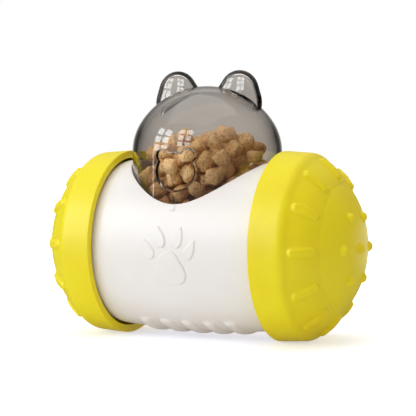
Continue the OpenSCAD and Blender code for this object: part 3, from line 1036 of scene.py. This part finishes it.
    def lower_samples(self) -> tuple[np.ndarray, np.ndarray]:
        """Samples of x and of the angle for the part below the seat, closer where relief is.

        Returns:
            Places along the axle, and angles from the seat's front round to its back.
        """
        paw_x, bars_x = 15.0, 28.0
        fine, middle = np.arange(0.0, paw_x, 0.34), np.arange(paw_x, bars_x, 0.6)
        half = np.concatenate([fine, middle, np.linspace(bars_x, self.patch_x, 8)])
        x = np.concatenate([-half[:0:-1], half])
        paw_end, bars_from, bars_flat, bars_end, bars_to = 116.0, 140.0, 158.0, 202.0, 221.0
        angles = [
            np.arange(self.patch_angle, paw_end, 0.45),
            np.arange(paw_end, bars_from, 1.2),
            np.arange(bars_from, bars_flat, 0.6),
            np.arange(bars_flat, bars_end, 2.0),
            np.arange(bars_end, bars_to, 0.7),
            np.linspace(bars_to, 360.0 - self.patch_angle, 20),
        ]
        return x, np.radians(np.concatenate(angles))

    def whole_ring(self, swing: np.ndarray, upper: np.ndarray) -> np.ndarray:
        """Angles all round the body: the lower part, then the upper one back to the start."""
        return np.concatenate([swing, upper[1:] + 2.0 * math.pi])

    def skin_of(
        self, inset: float, x: np.ndarray, swing: np.ndarray, upper: np.ndarray
    ) -> list[np.ndarray]:
        """One face of the wall: the part below the seat and the two drawn-in ends.

        Args:
            inset: Depth below the outside.
            x: Samples along the axle.
            swing: Angles of the lower part.
            upper: Angles of the upper part, from the seat's back to its front.

        Returns:
            Grids of points.
        """
        lower = self.place(*np.meshgrid(x, swing), inset)
        ring = self.whole_ring(swing, upper)
        ends = []
        for side in Side:
            out = side.value * np.linspace(self.patch_x, self.end_x, self.end_rows)
            ends.append(self.place(*np.meshgrid(out, ring), inset))
        return [lower, *ends]

    def seat_patch(self, inset: float, x: np.ndarray, upper: np.ndarray) -> tuple[np.ndarray, np.ndarray]:
        """Frame round the seat on one face of the wall, from the seat's edge to a rectangle.

        In (x, angle) the rows blend straight from the seat's edge to the rectangle's edge.

        Args:
            inset: Depth below the outside.
            x: Samples along the axle.
            upper: Angles of the upper part, from the seat's back to its front.

        Returns:
            Points of the frame, shape (rows, columns, 3), and the seat's edge in plan as
            angles, shape (columns,).
        """
        edge = math.radians(self.patch_angle)
        side = np.full(len(upper) - 2, self.patch_x)
        front = np.full(len(x), edge)
        rim_x = np.concatenate([x, side, x[::-1], -side])
        rim_a = np.concatenate([front, upper[-2:0:-1], -front, upper[1:-1]])
        plan = np.arctan2(-rim_a * self.radius, rim_x)
        bound = self.hole_radius(plan, inset)
        hole_x = bound * np.cos(plan)
        hole_a = np.arcsin(np.clip(-bound * np.sin(plan) / self.girth(hole_x, inset), -1.0, 1.0))
        near, far = self.frame_rows
        steps = [np.linspace(0.0, self.frame_near, near), np.linspace(self.frame_near, 1.0, far)[1:]]
        share = np.concatenate(steps)[:, None]
        return self.place(hole_x + (rim_x - hole_x) * share, hole_a + (rim_a - hole_a) * share, inset), plan

    def hole_radius(self, plan: np.ndarray, inset: float) -> np.ndarray:
        """Radius of the seat's hole in one face of the wall, at angles in plan.

        Outside it is the seat's own radius. Inside, the seat's tube ends where the ledge's
        underside meets the wall.

        Args:
            plan: Angles from +X towards +Y.
            inset: Depth below the outside.

        Returns:
            The radius at each angle.
        """
        if inset == 0.0:
            return np.full_like(plan, self.seat_r)
        tube_r = self.seat_r + self.seat_wall
        low = self.ledge_z - self.ledge_t - self.axle_z
        across = np.sqrt(self.girth(tube_r * np.cos(plan), inset) ** 2 - low**2)
        return np.minimum(tube_r, across / np.maximum(np.abs(np.sin(plan)), 1e-3))

    def hoop(self, plan: np.ndarray, r: float, z: float) -> np.ndarray:
        """A level ring of points at radius r and height z, shape (1, columns, 3)."""
        return np.stack([r * np.cos(plan), r * np.sin(plan), np.full_like(plan, z)], axis=-1)[None]

    def well(self, frame_grid: np.ndarray, plan: np.ndarray) -> np.ndarray:
        """The seat's edge and tube: a rounded edge, the wall down to the ledge, and the ledge.

        Args:
            frame_grid: The outside frame round the seat.
            plan: Angles of its columns.

        Returns:
            The frame with the edge and tube before its first row.
        """
        rim = frame_grid[0]
        away = frame_grid[1] - rim
        away /= np.linalg.norm(away, axis=-1, keepdims=True)
        start, end = rim + away * self.seat_round, rim - [0.0, 0.0, self.seat_round]
        t = np.linspace(1.0, 0.0, self.rim_rows)[:, None, None]
        edge = start * (1 - t) ** 2 + 2.0 * rim * t * (1 - t) + end * t**2
        lip_r, low = self.seat_r - self.ledge_w, self.ledge_z - self.ledge_t
        stops = ((lip_r, low), (lip_r, self.ledge_z), (self.seat_r, self.ledge_z))
        tube = [self.hoop(plan, r, z) for r, z in stops]
        reach = np.linalg.norm(frame_grid - rim, axis=-1).min(axis=1)
        return np.concatenate([*tube, edge, frame_grid[reach > self.seat_round * self.rim_clear]])

    def build(self) -> bpy.types.Object:
        """Makes the barrel's shell: outside, seat, ledge, inside and open ends.

        Returns:
            The piece.
        """
        x, swing = self.lower_samples()
        upper = np.radians(np.linspace(-self.patch_angle, self.patch_angle, self.upper_rows))
        skin = Skin()
        for inset, turned in ((0.0, False), (self.wall, True)):
            lower, *ends = self.skin_of(inset, x, swing, upper)
            skin.add(lower, turned=turned)
            skin.add(ends[0], turned=not turned)
            skin.add(ends[1], turned=turned)
            patch, plan = self.seat_patch(inset, x, upper)
            if inset == 0.0:
                patch = self.well(patch, plan)
            else:
                low = self.ledge_z - self.ledge_t
                down = patch[:1] * [1.0, 1.0, 0.0] + [0.0, 0.0, low]
                patch = np.concatenate([self.hoop(plan, self.seat_r - self.ledge_w, low), down, patch])
            skin.add(patch, around=True, turned=not turned)
        ring = self.whole_ring(swing, upper)
        for side in Side:
            ends_x = np.full_like(ring, side.value * self.end_x)
            mouth = np.stack([self.place(ends_x, ring, 0.0), self.place(ends_x, ring, self.wall)])
            skin.add(mouth, turned=side is Side.RIGHT)
        return skin.to_object("barrel_body", crease=40.0)

    def dress(self, material: bpy.types.Material) -> None:
        """Builds the barrel and puts it on its body."""
        settle(self.build(), material, "barrel", "barrel_plastic", "barrel_shell")


@dataclass
class BearDome:
    """The clear dome: skirt, shoulder and crown, two hollow ears, outlet and lock grooves."""

    radius: float = 38.1
    wall: float = 2.4
    rise: float = 33.4
    shoulder_r: float = 28.0
    ear_r: float = 10.7
    ear_half: float = 4.75
    ear_x: float = 17.3
    ear_back: float = 1.2
    ear_drop: float = 2.8
    foot_r: float = 13.3
    foot_x: float = 16.4
    foot_drop: float = 8.6
    ear_power: float = 1.95
    outlet_r: float = 9.9
    lobe_r: float = 3.4
    lobe_rise: float = 0.83
    outlet_z: float = 84.9
    outlet_squash: float = 0.92
    outlet_round: float = 0.85
    cutter_out: float = 6.0
    cutter_below: float = 4.0
    crease: float = 28.0
    groove_depth: float = 1.05
    groove_h: float = 3.3
    groove_step: float = 0.05
    pin_lift: float = 4.2
    pin_first: float = 90.0
    pin_half: float = 2.552
    twist: float = 100.0
    columns: int = 288
    arc_rows: tuple[int, int] = (30, 26)
    skirt_rows: tuple[int, int] = (9, 10)
    ear_columns: tuple[int, int, int] = (40, 32, 8)
    ear_rows: int = 41
    ear_middle: float = 0.6
    outlet_columns: int = 240

    def __post_init__(self) -> None:
        """Reads the dome's lower edge from the frame and works out its arcs."""
        low, high = box_mm("bear_dome")
        self.skirt_z = low[2]
        self.top_z = high[2] + self.ear_drop - self.ear_r
        self.equator_z = self.top_z - self.rise
        self.offset = self.radius - self.shoulder_r
        spare = self.offset**2 + self.rise**2 - self.shoulder_r**2
        self.crown_r = spare / (2.0 * (self.rise - self.shoulder_r))
        self.meet = math.atan2(self.crown_r - self.rise, self.offset)

    def outline(self, inset: float, low: np.ndarray) -> np.ndarray:
        """Half section of the dome: heights up the skirt, the shoulder's arc and the crown's arc.

        Args:
            inset: Depth below the outside.
            low: Heights of the skirt's rows, lowest first.

        Returns:
            Points (radius, height) from the lower edge to the top.
        """
        skirt = np.stack([np.full(len(low), self.radius - inset), low], axis=1)
        turn = np.linspace(0.0, self.meet, self.arc_rows[0])[:, None]
        shoulder = [self.offset, self.equator_z] + (self.shoulder_r - inset) * np.concatenate(
            [np.cos(turn), np.sin(turn)], axis=1
        )
        turn = np.linspace(self.meet, math.pi / 2.0, self.arc_rows[1])[1:, None]
        crown = [0.0, self.top_z - self.crown_r] + (self.crown_r - inset) * np.concatenate(
            [np.cos(turn), np.sin(turn)], axis=1
        )
        crown[-1, 0] = 0.0
        return np.concatenate([skirt, shoulder, crown])

    def solid(self, name: str, inset: float, low: np.ndarray, grooved: bool) -> bpy.types.Object:
        """A closed solid of the dome's shape, taken in by inset.

        Args:
            name: Name of the piece.
            inset: Depth below the outside.
            low: Heights of the skirt's rows, lowest first.
            grooved: True to sink the lock grooves into the skirt.

        Returns:
            The piece.
        """
        turns = full_turn(self.columns)
        section = np.repeat(self.outline(inset, low)[:, None], self.columns, axis=1)
        if grooved:
            section[..., 0] -= self.grooves(section[..., 1], turns)
        base = np.zeros((1, self.columns, 2)) + [0.0, low[0]]
        skin = Skin()
        skin.add(revolve_upright(np.concatenate([base, section]), turns), around=True)
        return skin.to_object(name)

    def grooves(self, z: np.ndarray, turns: np.ndarray) -> np.ndarray:
        """Depth of the lock grooves: a level run for each pin, and its way in from below.

        Args:
            z: Heights.
            turns: Angles round the dome's axis.

        Returns:
            The depth at each point.
        """
        pin_z = self.skirt_z + self.pin_lift
        start = math.radians(self.pin_first - self.twist - self.pin_half)
        along = np.degrees((turns - start) % (2.0 * math.pi / 3.0))
        level = (np.abs(z - pin_z) < self.groove_h / 2.0) & (along < self.twist + 2.0 * self.pin_half)
        way_in = (z < pin_z) & (along < 2.0 * self.pin_half)
        return self.groove_depth * (level | way_in)

    def ear(self, name: str, side: Side, inset: float) -> bpy.types.Object:
        """One ear: a lens whose outline wraps a small circle above a larger one.

        A point is centre + (outline(t) - centre) cos(b)^(2/p), with y = back + half sin(b)^(2/p).

        Args:
            name: Name of the piece.
            side: Ear to make.
            inset: Depth below the outside.

        Returns:
            The piece.
        """
        tip = np.array([self.ear_x, self.top_z - self.ear_drop])
        foot = np.array([self.foot_x, self.top_z - self.foot_drop])
        gap = foot - tip
        heading = math.atan2(gap[1], gap[0])
        lean = math.acos((self.ear_r - self.foot_r) / np.linalg.norm(gap))
        tip_columns, foot_columns, side_columns = self.ear_columns
        upper = np.linspace(heading + lean, heading + 2.0 * math.pi - lean, tip_columns)
        lower = np.linspace(heading - lean, heading + lean, foot_columns)
        arcs = [
            c + (r - inset) * np.stack([np.cos(a), np.sin(a)], axis=1)
            for c, r, a in ((tip, self.ear_r, upper), (foot, self.foot_r, lower))
        ]
        t = np.linspace(0.0, 1.0, side_columns)[1:-1, None]
        straight = [a[-1] * (1.0 - t) + b[0] * t for a, b in (arcs, arcs[::-1])]
        rim = np.concatenate([arcs[0], straight[0], arcs[1], straight[1]])
        centre = tip * self.ear_middle + foot * (1.0 - self.ear_middle)
        b = np.linspace(-math.pi / 2.0, math.pi / 2.0, self.ear_rows)[:, None]
        power = 2.0 / self.ear_power
        spread = np.cos(b).clip(0.0) ** power
        rounded = np.sign(np.sin(b)) * np.abs(np.sin(b)) ** power
        flat = centre + (rim - centre)[None] * spread[..., None]
        thick = self.ear_back + (self.ear_half - inset) * np.repeat(rounded, len(rim), axis=1)
        skin = Skin()
        skin.add(np.stack([side.value * flat[..., 0], thick, flat[..., 1]], axis=-1), around=True)
        return skin.to_object(name)

    def outlet(self) -> bpy.types.Object:
        """Cutter for the outlet: a round hole with two lobes, eased at both faces of the wall.

        The outline is the furthest of three circles along each ray from the middle, and each
        ring follows the dome's outside at its own depth.

        Returns:
            The piece.
        """
        t = full_turn(self.outlet_columns)
        ray = np.stack([np.cos(t), np.sin(t)], axis=1)
        reach = np.full_like(t, self.outlet_r)
        for sign in (-1.0, 1.0):
            lobe = np.array([sign * (self.outlet_r - self.lobe_r), self.outlet_r * self.lobe_rise])
            ahead = ray @ lobe
            spare = self.lobe_r**2 - (lobe @ lobe - ahead**2)
            exit_at = ahead + np.sqrt(np.clip(spare, 0.0, None))
            reach = np.where((spare > 0.0) & (ahead > 0.0), np.maximum(reach, exit_at), reach)
        ease = self.outlet_round
        steps = ((self.cutter_out, ease + 1.0), (0.2, ease + 0.2), (-ease, 0.0))
        levels = [(-out, grow) for out, grow in steps]
        levels += [(self.wall + out, grow) for out, grow in steps[::-1]]
        rings = []
        for depth, grow in levels:
            x, up = ((reach + grow)[:, None] * ray * [1.0, self.outlet_squash]).T
            past = np.clip(self.outlet_z + up - self.equator_z, 0.0, None)
            r = self.offset + np.sqrt(self.shoulder_r**2 - past**2)
            rings.append(np.stack([x, depth - np.sqrt(r**2 - x**2), self.outlet_z + up], axis=1))
        ends = [np.repeat(ring.mean(axis=0)[None], len(t), axis=0) for ring in (rings[0], rings[-1])]
        skin = Skin()
        skin.add(np.stack([ends[0], *rings, ends[1]]), around=True)
        return skin.to_object("outlet_cutter")

    def build(self) -> bpy.types.Object:
        """Makes the hollow dome: outside with ears, less the inside with ears, less the outlet.

        Returns:
            The piece.
        """
        outer, inner = self.skirt_rows
        pin_z = self.skirt_z + self.pin_lift
        near, past = (self.groove_h / 2.0 + step for step in (-self.groove_step, self.groove_step))
        levels = [self.skirt_z, *(pin_z + d for d in (-past, -near, near, past))]
        rows = np.concatenate([levels, np.linspace(levels[-1], self.equator_z, outer)[1:-1]])
        dome = self.solid("bear_dome_shell", 0.0, rows, grooved=True)
        inner_rows = np.linspace(self.skirt_z - self.cutter_below, self.equator_z, inner)[:-1]
        hollow = self.solid("hollow", self.wall, inner_rows, grooved=False)
        for side in Side:
            combine(dome, self.ear("ear", side, 0.0), Cut.JOIN)
            combine(hollow, self.ear("ear_hollow", side, self.wall), Cut.JOIN)
        combine(dome, hollow, Cut.TAKE_AWAY)
        combine(dome, self.outlet(), Cut.TAKE_AWAY)
        shade(dome.data, self.crease)
        return dome

    def dress(self, material: bpy.types.Material) -> None:
        """Builds the dome and puts it on its body."""
        settle(self.build(), material, "dome", "dome_plastic", "bear_dome")


@dataclass
class Kibble:
    """The treats: one rounded chunk at the place of each treat of the CAD heap."""

    node: str = "treats"
    half: float = 4.3
    jitter: float = 0.3
    unlike: float = 0.08
    power: tuple[float, float] = (0.42, 0.72)
    sides: tuple[float, float] = (0.74, 0.98)
    wave: float = 1.9
    lump: float = 0.07
    # Spread of each piece's random bake, which scales the painted top light.
    bake: tuple[float, float] = (0.6, 1.0)
    # Heights over which painted top light turns the treats from crust to pale.
    painted_light_z: tuple[float, float] = (64.0, 82.0)
    seed: int = 7
    rows: int = 9
    columns: int = 12

    def places(self) -> np.ndarray:
        """Middles of the CAD node's loose solids.

        Points that share a place are one point; each triangle passes on the lowest number among
        its points until every solid's points carry the same one.

        Returns:
            The middle of each solid's box in millimetres, shape (n, 3).
        """
        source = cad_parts[self.node]
        count = len(source.data.vertices)
        flat = np.empty(count * 3, dtype=np.float32)
        source.data.vertices.foreach_get("co", flat)
        world = np.array(source.matrix_world)
        points = (flat.reshape(-1, 3) @ world[:3, :3].T + world[:3, 3]) / MM
        source.data.calc_loop_triangles()
        corners = np.empty(len(source.data.loop_triangles) * 3, dtype=np.int32)
        source.data.loop_triangles.foreach_get("vertices", corners)
        spots, own = np.unique(np.round(points, 3), axis=0, return_inverse=True)
        faces = own.reshape(-1)[corners].reshape(-1, 3)
        label = np.arange(len(spots))
        settled = False
        while not settled:
            before = label.copy()
            np.minimum.at(label, faces.ravel(), np.repeat(label[faces].min(axis=1), 3))
            settled = bool((label == before).all())
        low, high = (np.full((len(spots), 3), s * 1e6) for s in (1.0, -1.0))
        np.minimum.at(low, label, spots)
        np.maximum.at(high, label, spots)
        first = np.unique(label)
        return (low[first] + high[first]) / 2.0

    def chunks(self, rng: np.random.Generator, reach: np.ndarray) -> np.ndarray:
        """Shapes of the treats: rounded blocks, each with its own sides, lumps and turn.

        A point is (a C(u) C(v), b C(u) S(v), c S(u)), where C and S are the cosine and sine
        raised to a power below 1 with their sign kept, times 1 plus two slow waves.

        Args:
            rng: Seeded source of random numbers.
            reach: Radius of each treat.

        Returns:
            Points about each treat's centre, shape (n, rows, columns, 3).
        """
        n = len(reach)
        pole = math.pi / 2.0
        u = np.linspace(-pole, pole, self.rows)[None, :, None]
        v = full_turn(self.columns)[None, None]
        power = rng.uniform(*self.power, (n, 1, 1))

        def bent(value: np.ndarray) -> np.ndarray:
            """The value raised to the treat's power with its sign kept."""
            return np.sign(value) * np.abs(value) ** power

        sides = rng.uniform(*self.sides, (n, 1, 1, 3))
        flat = np.zeros_like(u + v)
        cos_u = bent(np.where(np.abs(u) < pole, np.cos(u), 0.0) + flat)
        round_it = [cos_u * bent(np.cos(v) + flat), cos_u * bent(np.sin(v) + flat)]
        shape = np.stack([*round_it, bent(np.sin(u) + flat)], axis=-1) * sides
        wave = rng.normal(0.0, self.wave, (n, 2, 3))
        phase = rng.uniform(0.0, 2.0 * math.pi, (n, 2))
        lumps = np.sin(np.einsum("nrcd,nkd->nrck", shape, wave) + phase[:, None, None]).sum(axis=-1)
        shape = shape * (1.0 + self.lump * lumps)[..., None]
        axes = np.linalg.qr(rng.normal(size=(n, 3, 3)))[0]
        return np.einsum("nrcd,ned->nrce", shape, axes) * reach[:, None, None, None]

    def build(self) -> bpy.types.Object:
        """Makes the heap as one piece of separate treats.

        Returns:
            The piece.
        """
        rng = np.random.default_rng(self.seed)
        spots = self.places()
        spots = spots + rng.uniform(-self.jitter, self.jitter, spots.shape)
        reach = self.half * (1.0 + rng.uniform(-self.unlike, self.unlike, len(spots)))
        grids = self.chunks(rng, reach) + spots[:, None, None]
        # Painted top light: lower treats keep the darker crust and higher ones turn paler, scaled by each
        # piece's random bake.
        share = np.clip((spots[:, 2] - self.painted_light_z[0]) / np.ptp(self.painted_light_z), 0.0, 1.0)
        bake = np.repeat(share * rng.uniform(*self.bake, len(spots)), grids.shape[1] * grids.shape[2])
        skin = Skin()
        skin.add(grids, around=True)
        return skin.to_object("kibble_heap", crease=42.0, marks={BAKE_AND_PAINTED_LIGHT: bake})

    def dress(self, material: bpy.types.Material) -> None:
        """Builds the heap and puts it on the barrel, whose tray carries it."""
        settle(self.build(), material, "barrel", "treat_biscuit", "treats")


@dataclass(frozen=True)
class HiddenWorks:
    """CAD nodes inside the toy that keep their shape and get a finish."""

    finishes: Mapping[str, tuple[str, ...]]

    def dress(self, materials: Mapping[str, bpy.types.Material]) -> None:
        """Gives each node its finish.

        Args:
            materials: Materials by name.
        """
        for name, nodes in self.finishes.items():
            for node in nodes:
                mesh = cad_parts[node].data
                mesh.materials.clear()
                mesh.materials.append(materials[name])
                LOG.info("%s: finish %s", node, name)


@dataclass(frozen=True)
class Softbox:
    """One rectangular studio lamp."""

    name: str
    place: Place
    aim: Place
    size: tuple[float, float]
    radiance: float
    kind: Lamp = Lamp.SOFT
    colour: Colour = WHITE

    def hang(self) -> None:
        """Adds the lamp: its power is pi * area * radiance."""
        lamp = bpy.data.lights.new(self.name, "AREA")
        lamp.shape = "RECTANGLE"
        lamp.size, lamp.size_y = (s * MM for s in self.size)
        lamp.energy = math.pi * lamp.size * lamp.size_y * self.radiance
        lamp.color = self.colour
        lamp_object = bpy.data.objects.new(self.name, lamp)
        lamp_object.location = Vector(self.place) * MM
        heading = Vector(self.aim) - Vector(self.place)
        lamp_object.rotation_euler = heading.to_track_quat("-Z", "Y").to_euler()
        lamp_object.visible_diffuse = self.kind is Lamp.SOFT
        lamp_object.visible_glossy = self.kind is Lamp.MIRRORED
        lamp_object.visible_transmission = self.kind is Lamp.SOFT
        bpy.context.scene.collection.objects.link(lamp_object)
        LOG.info("lamp %s", self.name)


@dataclass(frozen=True)
class PhotoCamera:
    """Camera at the photograph's place, found from the rims of the wheels and the dome."""

    azimuth: float = 25.43
    elevation: float = 3.40
    distance: float = 773.4
    pivot: Place = (0.0, 0.0, 55.0)
    rise: float = 10.66
    right: float = 0.34
    lens: float = 130.93

    def axes(self) -> tuple[Vector, Vector, Vector]:
        """Works out the camera's own axes.

        Returns:
            Unit vectors from the object to the camera, to its right and up.
        """
        az, el = math.radians(self.azimuth), math.radians(self.elevation)
        back = Vector((math.sin(az) * math.cos(el), -math.cos(az) * math.cos(el), math.sin(el)))
        right = Vector((math.cos(az), math.sin(az), 0.0))
        return back, right, back.cross(right)

    def mount(self) -> None:
        """Adds the camera and makes it the scene's own."""
        back, right, up = self.axes()
        pivot = Vector(self.pivot)
        camera = bpy.data.cameras.new("photo_camera")
        camera.sensor_width = 36.0
        camera.lens = self.lens
        camera.clip_start = 0.01
        mounted = bpy.data.objects.new("photo_camera", camera)
        mounted.location = (pivot + back * self.distance) * MM
        aim = (pivot + right * self.right + up * self.rise) * MM
        mounted.rotation_euler = (aim - mounted.location).to_track_quat("-Z", "Y").to_euler()
        bpy.context.scene.collection.objects.link(mounted)
        bpy.context.scene.camera = mounted


@dataclass(frozen=True)
class MirroredPanel:
    """A window or card of bright panes that shows only as a reflection, placed by its angles.

    The turn runs from the camera's right towards the camera, and the rise from level to up.
    """

    name: str
    turn: float
    rise: float
    width: float
    height: float
    columns: int = 2
    rows: int = 3
    away: float = 1300.0
    bar: float = 0.24
    radiance: float = 8.5
    centre: Place = (0.0, 0.0, 100.0)

    def panes(self, camera: PhotoCamera) -> list[Softbox]:
        """Works out one lamp for each pane.

        Args:
            camera: The camera that the panel stands beside.

        Returns:
            The lamps.
        """
        back, right, up = camera.axes()
        turn, rise = math.radians(self.turn), math.radians(self.rise)
        level = right * math.cos(turn) + back * math.sin(turn)
        heading = level * math.cos(rise) + up * math.sin(rise)
        sideways = heading.cross(up).normalized()
        upwards = sideways.cross(heading).normalized()
        wide, tall = self.width / self.columns, self.height / self.rows
        size = (wide * (1.0 - self.bar), tall * (1.0 - self.bar))
        lamps = []
        for column in range(self.columns):
            for row in range(self.rows):
                along, lift = column - (self.columns - 1) / 2.0, row - (self.rows - 1) / 2.0
                shift = sideways * along * wide + upwards * lift * tall
                place = Vector(self.centre) + heading * self.away + shift
                aim = tuple(place - heading)
                name = f"{self.name}_{column}_{row}"
                lamps.append(Softbox(name, tuple(place), aim, size, self.radiance, Lamp.MIRRORED))
        return lamps


@dataclass(frozen=True)
class Studio:
    """White floor, surroundings that are white behind the toy, and soft lamps."""

    camera: PhotoCamera
    lamps: tuple[Softbox, ...]
    fill: float = 0.53
    fill_tint: Colour = (1.0, 0.87, 0.77)
    behind_glow: float = 0.59
    side_glow: float = 0.06
    white_within: float = 8.0
    dim_beyond: float = 26.0
    above_glow: float = 0.75
    above_from: float = 12.0
    above_full: float = 40.0
    floor_size: float = 6000.0
    floor_tint: Colour = (0.86, 0.89, 0.93)
    floor_mirrored: float = 0.16
    under_glow: float = 0.15
    under_tint: Colour = (1.0, 0.84, 0.7)
    under_r: tuple[float, float] = (35.0, 110.0)
    near_glow: float = 0.49
    glow_tint: Colour = (0.95, 0.98, 1.1)
    near_r: float = 90.0
    white_r: float = 210.0

    def lay_floor(self) -> None:
        """Adds the floor: matt, so that it keeps a faint shadow, with a glow that makes it white.

        Close to the toy it also gives a warm light, which only matt surfaces gather.
        """
        half = self.floor_size / 2.0
        corners = [[[-half, -half, 0.0], [half, -half, 0.0]], [[-half, half, 0.0], [half, half, 0.0]]]
        skin = Skin()
        skin.add(np.array(corners))
        floor = skin.to_object("studio_floor")
        material, tree, _, out = new_material("studio_floor_white")
        path = tree.nodes.new("ShaderNodeLightPath").outputs
        coords = tree.nodes.new("ShaderNodeTexCoord").outputs["Object"]
        away = add_node(tree, "ShaderNodeVectorMath", {0: coords}, {"operation": "LENGTH"}).outputs["Value"]
        level = map_node(tree, away, self.near_r * MM, self.white_r * MM, self.near_glow, 1.0)
        straight = math_node(tree, "MAXIMUM", path["Is Camera Ray"], path["Is Transmission Ray"])
        matt = add_node(tree, "ShaderNodeBsdfDiffuse", {"Color": (*self.floor_tint, 1.0)})
        warm = map_node(tree, away, *(r * MM for r in self.under_r), self.under_glow, 0.0)
        tint = blend_node(tree, straight, self.under_tint, self.glow_tint)
        glow = self.emitter(tree, map_node(tree, straight, 0.0, 1.0, warm, level), tint)
        both = add_node(tree, "ShaderNodeAddShader", {0: matt.outputs[0], 1: glow})
        dim = self.emitter(tree, self.floor_mirrored, (*WHITE, 1.0))
        mix = add_node(tree, "ShaderNodeMixShader", {0: path["Is Glossy Ray"], 1: both.outputs[0], 2: dim})
        tree.links.new(mix.outputs[0], out.inputs["Surface"])
        floor.data.materials.append(material)

    def emitter(self, tree: bpy.types.NodeTree, strength: Filling, colour: Filling) -> bpy.types.NodeSocket:
        """Adds an emission shader."""
        values = {"Color": colour, "Strength": strength}
        return add_node(tree, "ShaderNodeEmission", values).outputs[0]

    def along(self, tree: bpy.types.NodeTree, heading: Filling, way: Vector) -> bpy.types.NodeSocket:
        """Cosine of the angle between a ray's heading and a way."""
        pair = {0: heading, 1: tuple(way)}
        return add_node(tree, "ShaderNodeVectorMath", pair, {"operation": "DOT_PRODUCT"}).outputs["Value"]

    def light(self) -> None:
        """Sets the surroundings and hangs the lamps.

        The camera sees white. Reflected and refracted rays see a pale wall behind the toy and a
        soft light above, and little to the sides. Light that matt surfaces gather has the fill's
        level.
        """
        world = bpy.data.worlds.new("studio_surroundings")
        world.use_nodes = True
        tree = world.node_tree
        tree.nodes.clear()
        back, _, up = self.camera.axes()
        path = tree.nodes.new("ShaderNodeLightPath").outputs
        heading = tree.nodes.new("ShaderNodeTexCoord").outputs["Generated"]
        cone = [math.cos(math.radians(a)) for a in (self.dim_beyond, self.white_within)]
        behind = map_node(tree, self.along(tree, heading, -back), *cone, self.side_glow, self.behind_glow)
        rise = [math.sin(math.radians(a)) for a in (self.above_from, self.above_full)]
        above = map_node(tree, self.along(tree, heading, up), *rise, 0.0, self.above_glow)
        shown = math_node(tree, "MAXIMUM", math_node(tree, "MAXIMUM", behind, above), path["Is Camera Ray"])
        bent = math_node(tree, "MAXIMUM", path["Is Glossy Ray"], path["Is Transmission Ray"])
        direct = math_node(tree, "LESS_THAN", path["Diffuse Depth"], 0.5)
        seen = math_node(tree, "MAXIMUM", math_node(tree, "MULTIPLY", bent, direct), path["Is Camera Ray"])
        strength = map_node(tree, seen, 0.0, 1.0, self.fill, shown)
        tint = blend_node(tree, seen, self.fill_tint, WHITE)
        sky = add_node(tree, "ShaderNodeBackground", {"Color": tint, "Strength": strength})
        out = tree.nodes.new("ShaderNodeOutputWorld")
        tree.links.new(sky.outputs[0], out.inputs["Surface"])
        bpy.context.scene.world = world
        for lamp in self.lamps:
            lamp.hang()


LEMON = MouldedFinish(
    "lemon_wheel_plastic",
    srgb(249, 230, 12),
    srgb(241, 215, 8),
    0.44,
    cells=1500.0,
    grain_mm=0.045,
    specular=0.4,
)
WARM_WHITE = MouldedFinish(
    "warm_white_plastic",
    srgb(248, 242, 236),
    srgb(244, 236, 228),
    0.38,
    cells=1900.0,
    grain_mm=0.006,
    subsurface=0.12,
)
TRAY_WHITE = MouldedFinish("tray_white_plastic", srgb(236, 230, 222), srgb(226, 218, 208), 0.5)
ZINC_STEEL = MouldedFinish("zinc_steel", srgb(186, 188, 192), srgb(150, 152, 158), 0.32, metallic=1.0)
CAST_IRON = MouldedFinish(
    "cast_iron", srgb(104, 104, 108), srgb(72, 72, 76), 0.62, cells=900.0, grain_mm=0.08, metallic=1.0
)

TOY_MIDDLE: Place = (0.0, 0.0, 60.0)
SOFT_LAMPS = (
    Softbox("key_soft", (-800.0, -1250.0, 500.0), TOY_MIDDLE, (1000.0, 1000.0), 2.75, colour=COOL),
    Softbox("top_soft", (-200.0, 50.0, 1400.0), TOY_MIDDLE, (1500.0, 1500.0), 1.42, colour=COOL),
)
PANELS = (
    MirroredPanel("near_window", 166.0, 18.8, 660.0, 880.0),
    MirroredPanel("far_window", 126.5, 24.4, 510.0, 810.0),
    MirroredPanel("side_strip", 179.5, -2.0, 80.0, 180.0, columns=1, rows=1, radiance=5.0),
    MirroredPanel("cap_card", -64.0, 0.0, 240.0, 90.0, 1, 1, 260.0, 0.0, 1.6, centre=(75.0, 0.0, 46.0)),
)

HIDDEN = HiddenWorks(
    {
        WARM_WHITE.name: ("end_cover_left", "end_cover_right"),
        TRAY_WHITE.name: ("food_tray", "weight_plate"),
        ZINC_STEEL.name: (
            "end_cover_screws_left",
            "end_cover_screws_right",
            "weight_screws",
            "axle_washer_left",
            "axle_washer_right",
            "axle_screw_left",
            "axle_screw_right",
        ),
        CAST_IRON.name: ("counterweight",),
    }
)


def main() -> None:
    """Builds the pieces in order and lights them."""
    logging.basicConfig(level=logging.INFO, format="%(name)s: %(message)s")
    bpy.context.scene.view_settings.view_transform = "Standard"
    grain = mould_grain()
    finishes = (LEMON, WARM_WHITE, TRAY_WHITE, ZINC_STEEL, CAST_IRON)
    materials = {finish.name: finish.material(grain) for finish in finishes}
    Barrel().dress(materials[WARM_WHITE.name])
    for side in Side:
        CupWheel(side).dress(materials[LEMON.name])
    BearDome().dress(SmokeClearFinish().material())
    Kibble().dress(BakedFinish().material())
    HIDDEN.dress(materials)
    camera = PhotoCamera()
    lamps = [*SOFT_LAMPS, *(lamp for panel in PANELS for lamp in panel.panes(camera))]
    studio = Studio(camera, tuple(lamps))
    studio.lay_floor()
    studio.light()
    camera.mount()


if __name__ == "__main__":
    main()
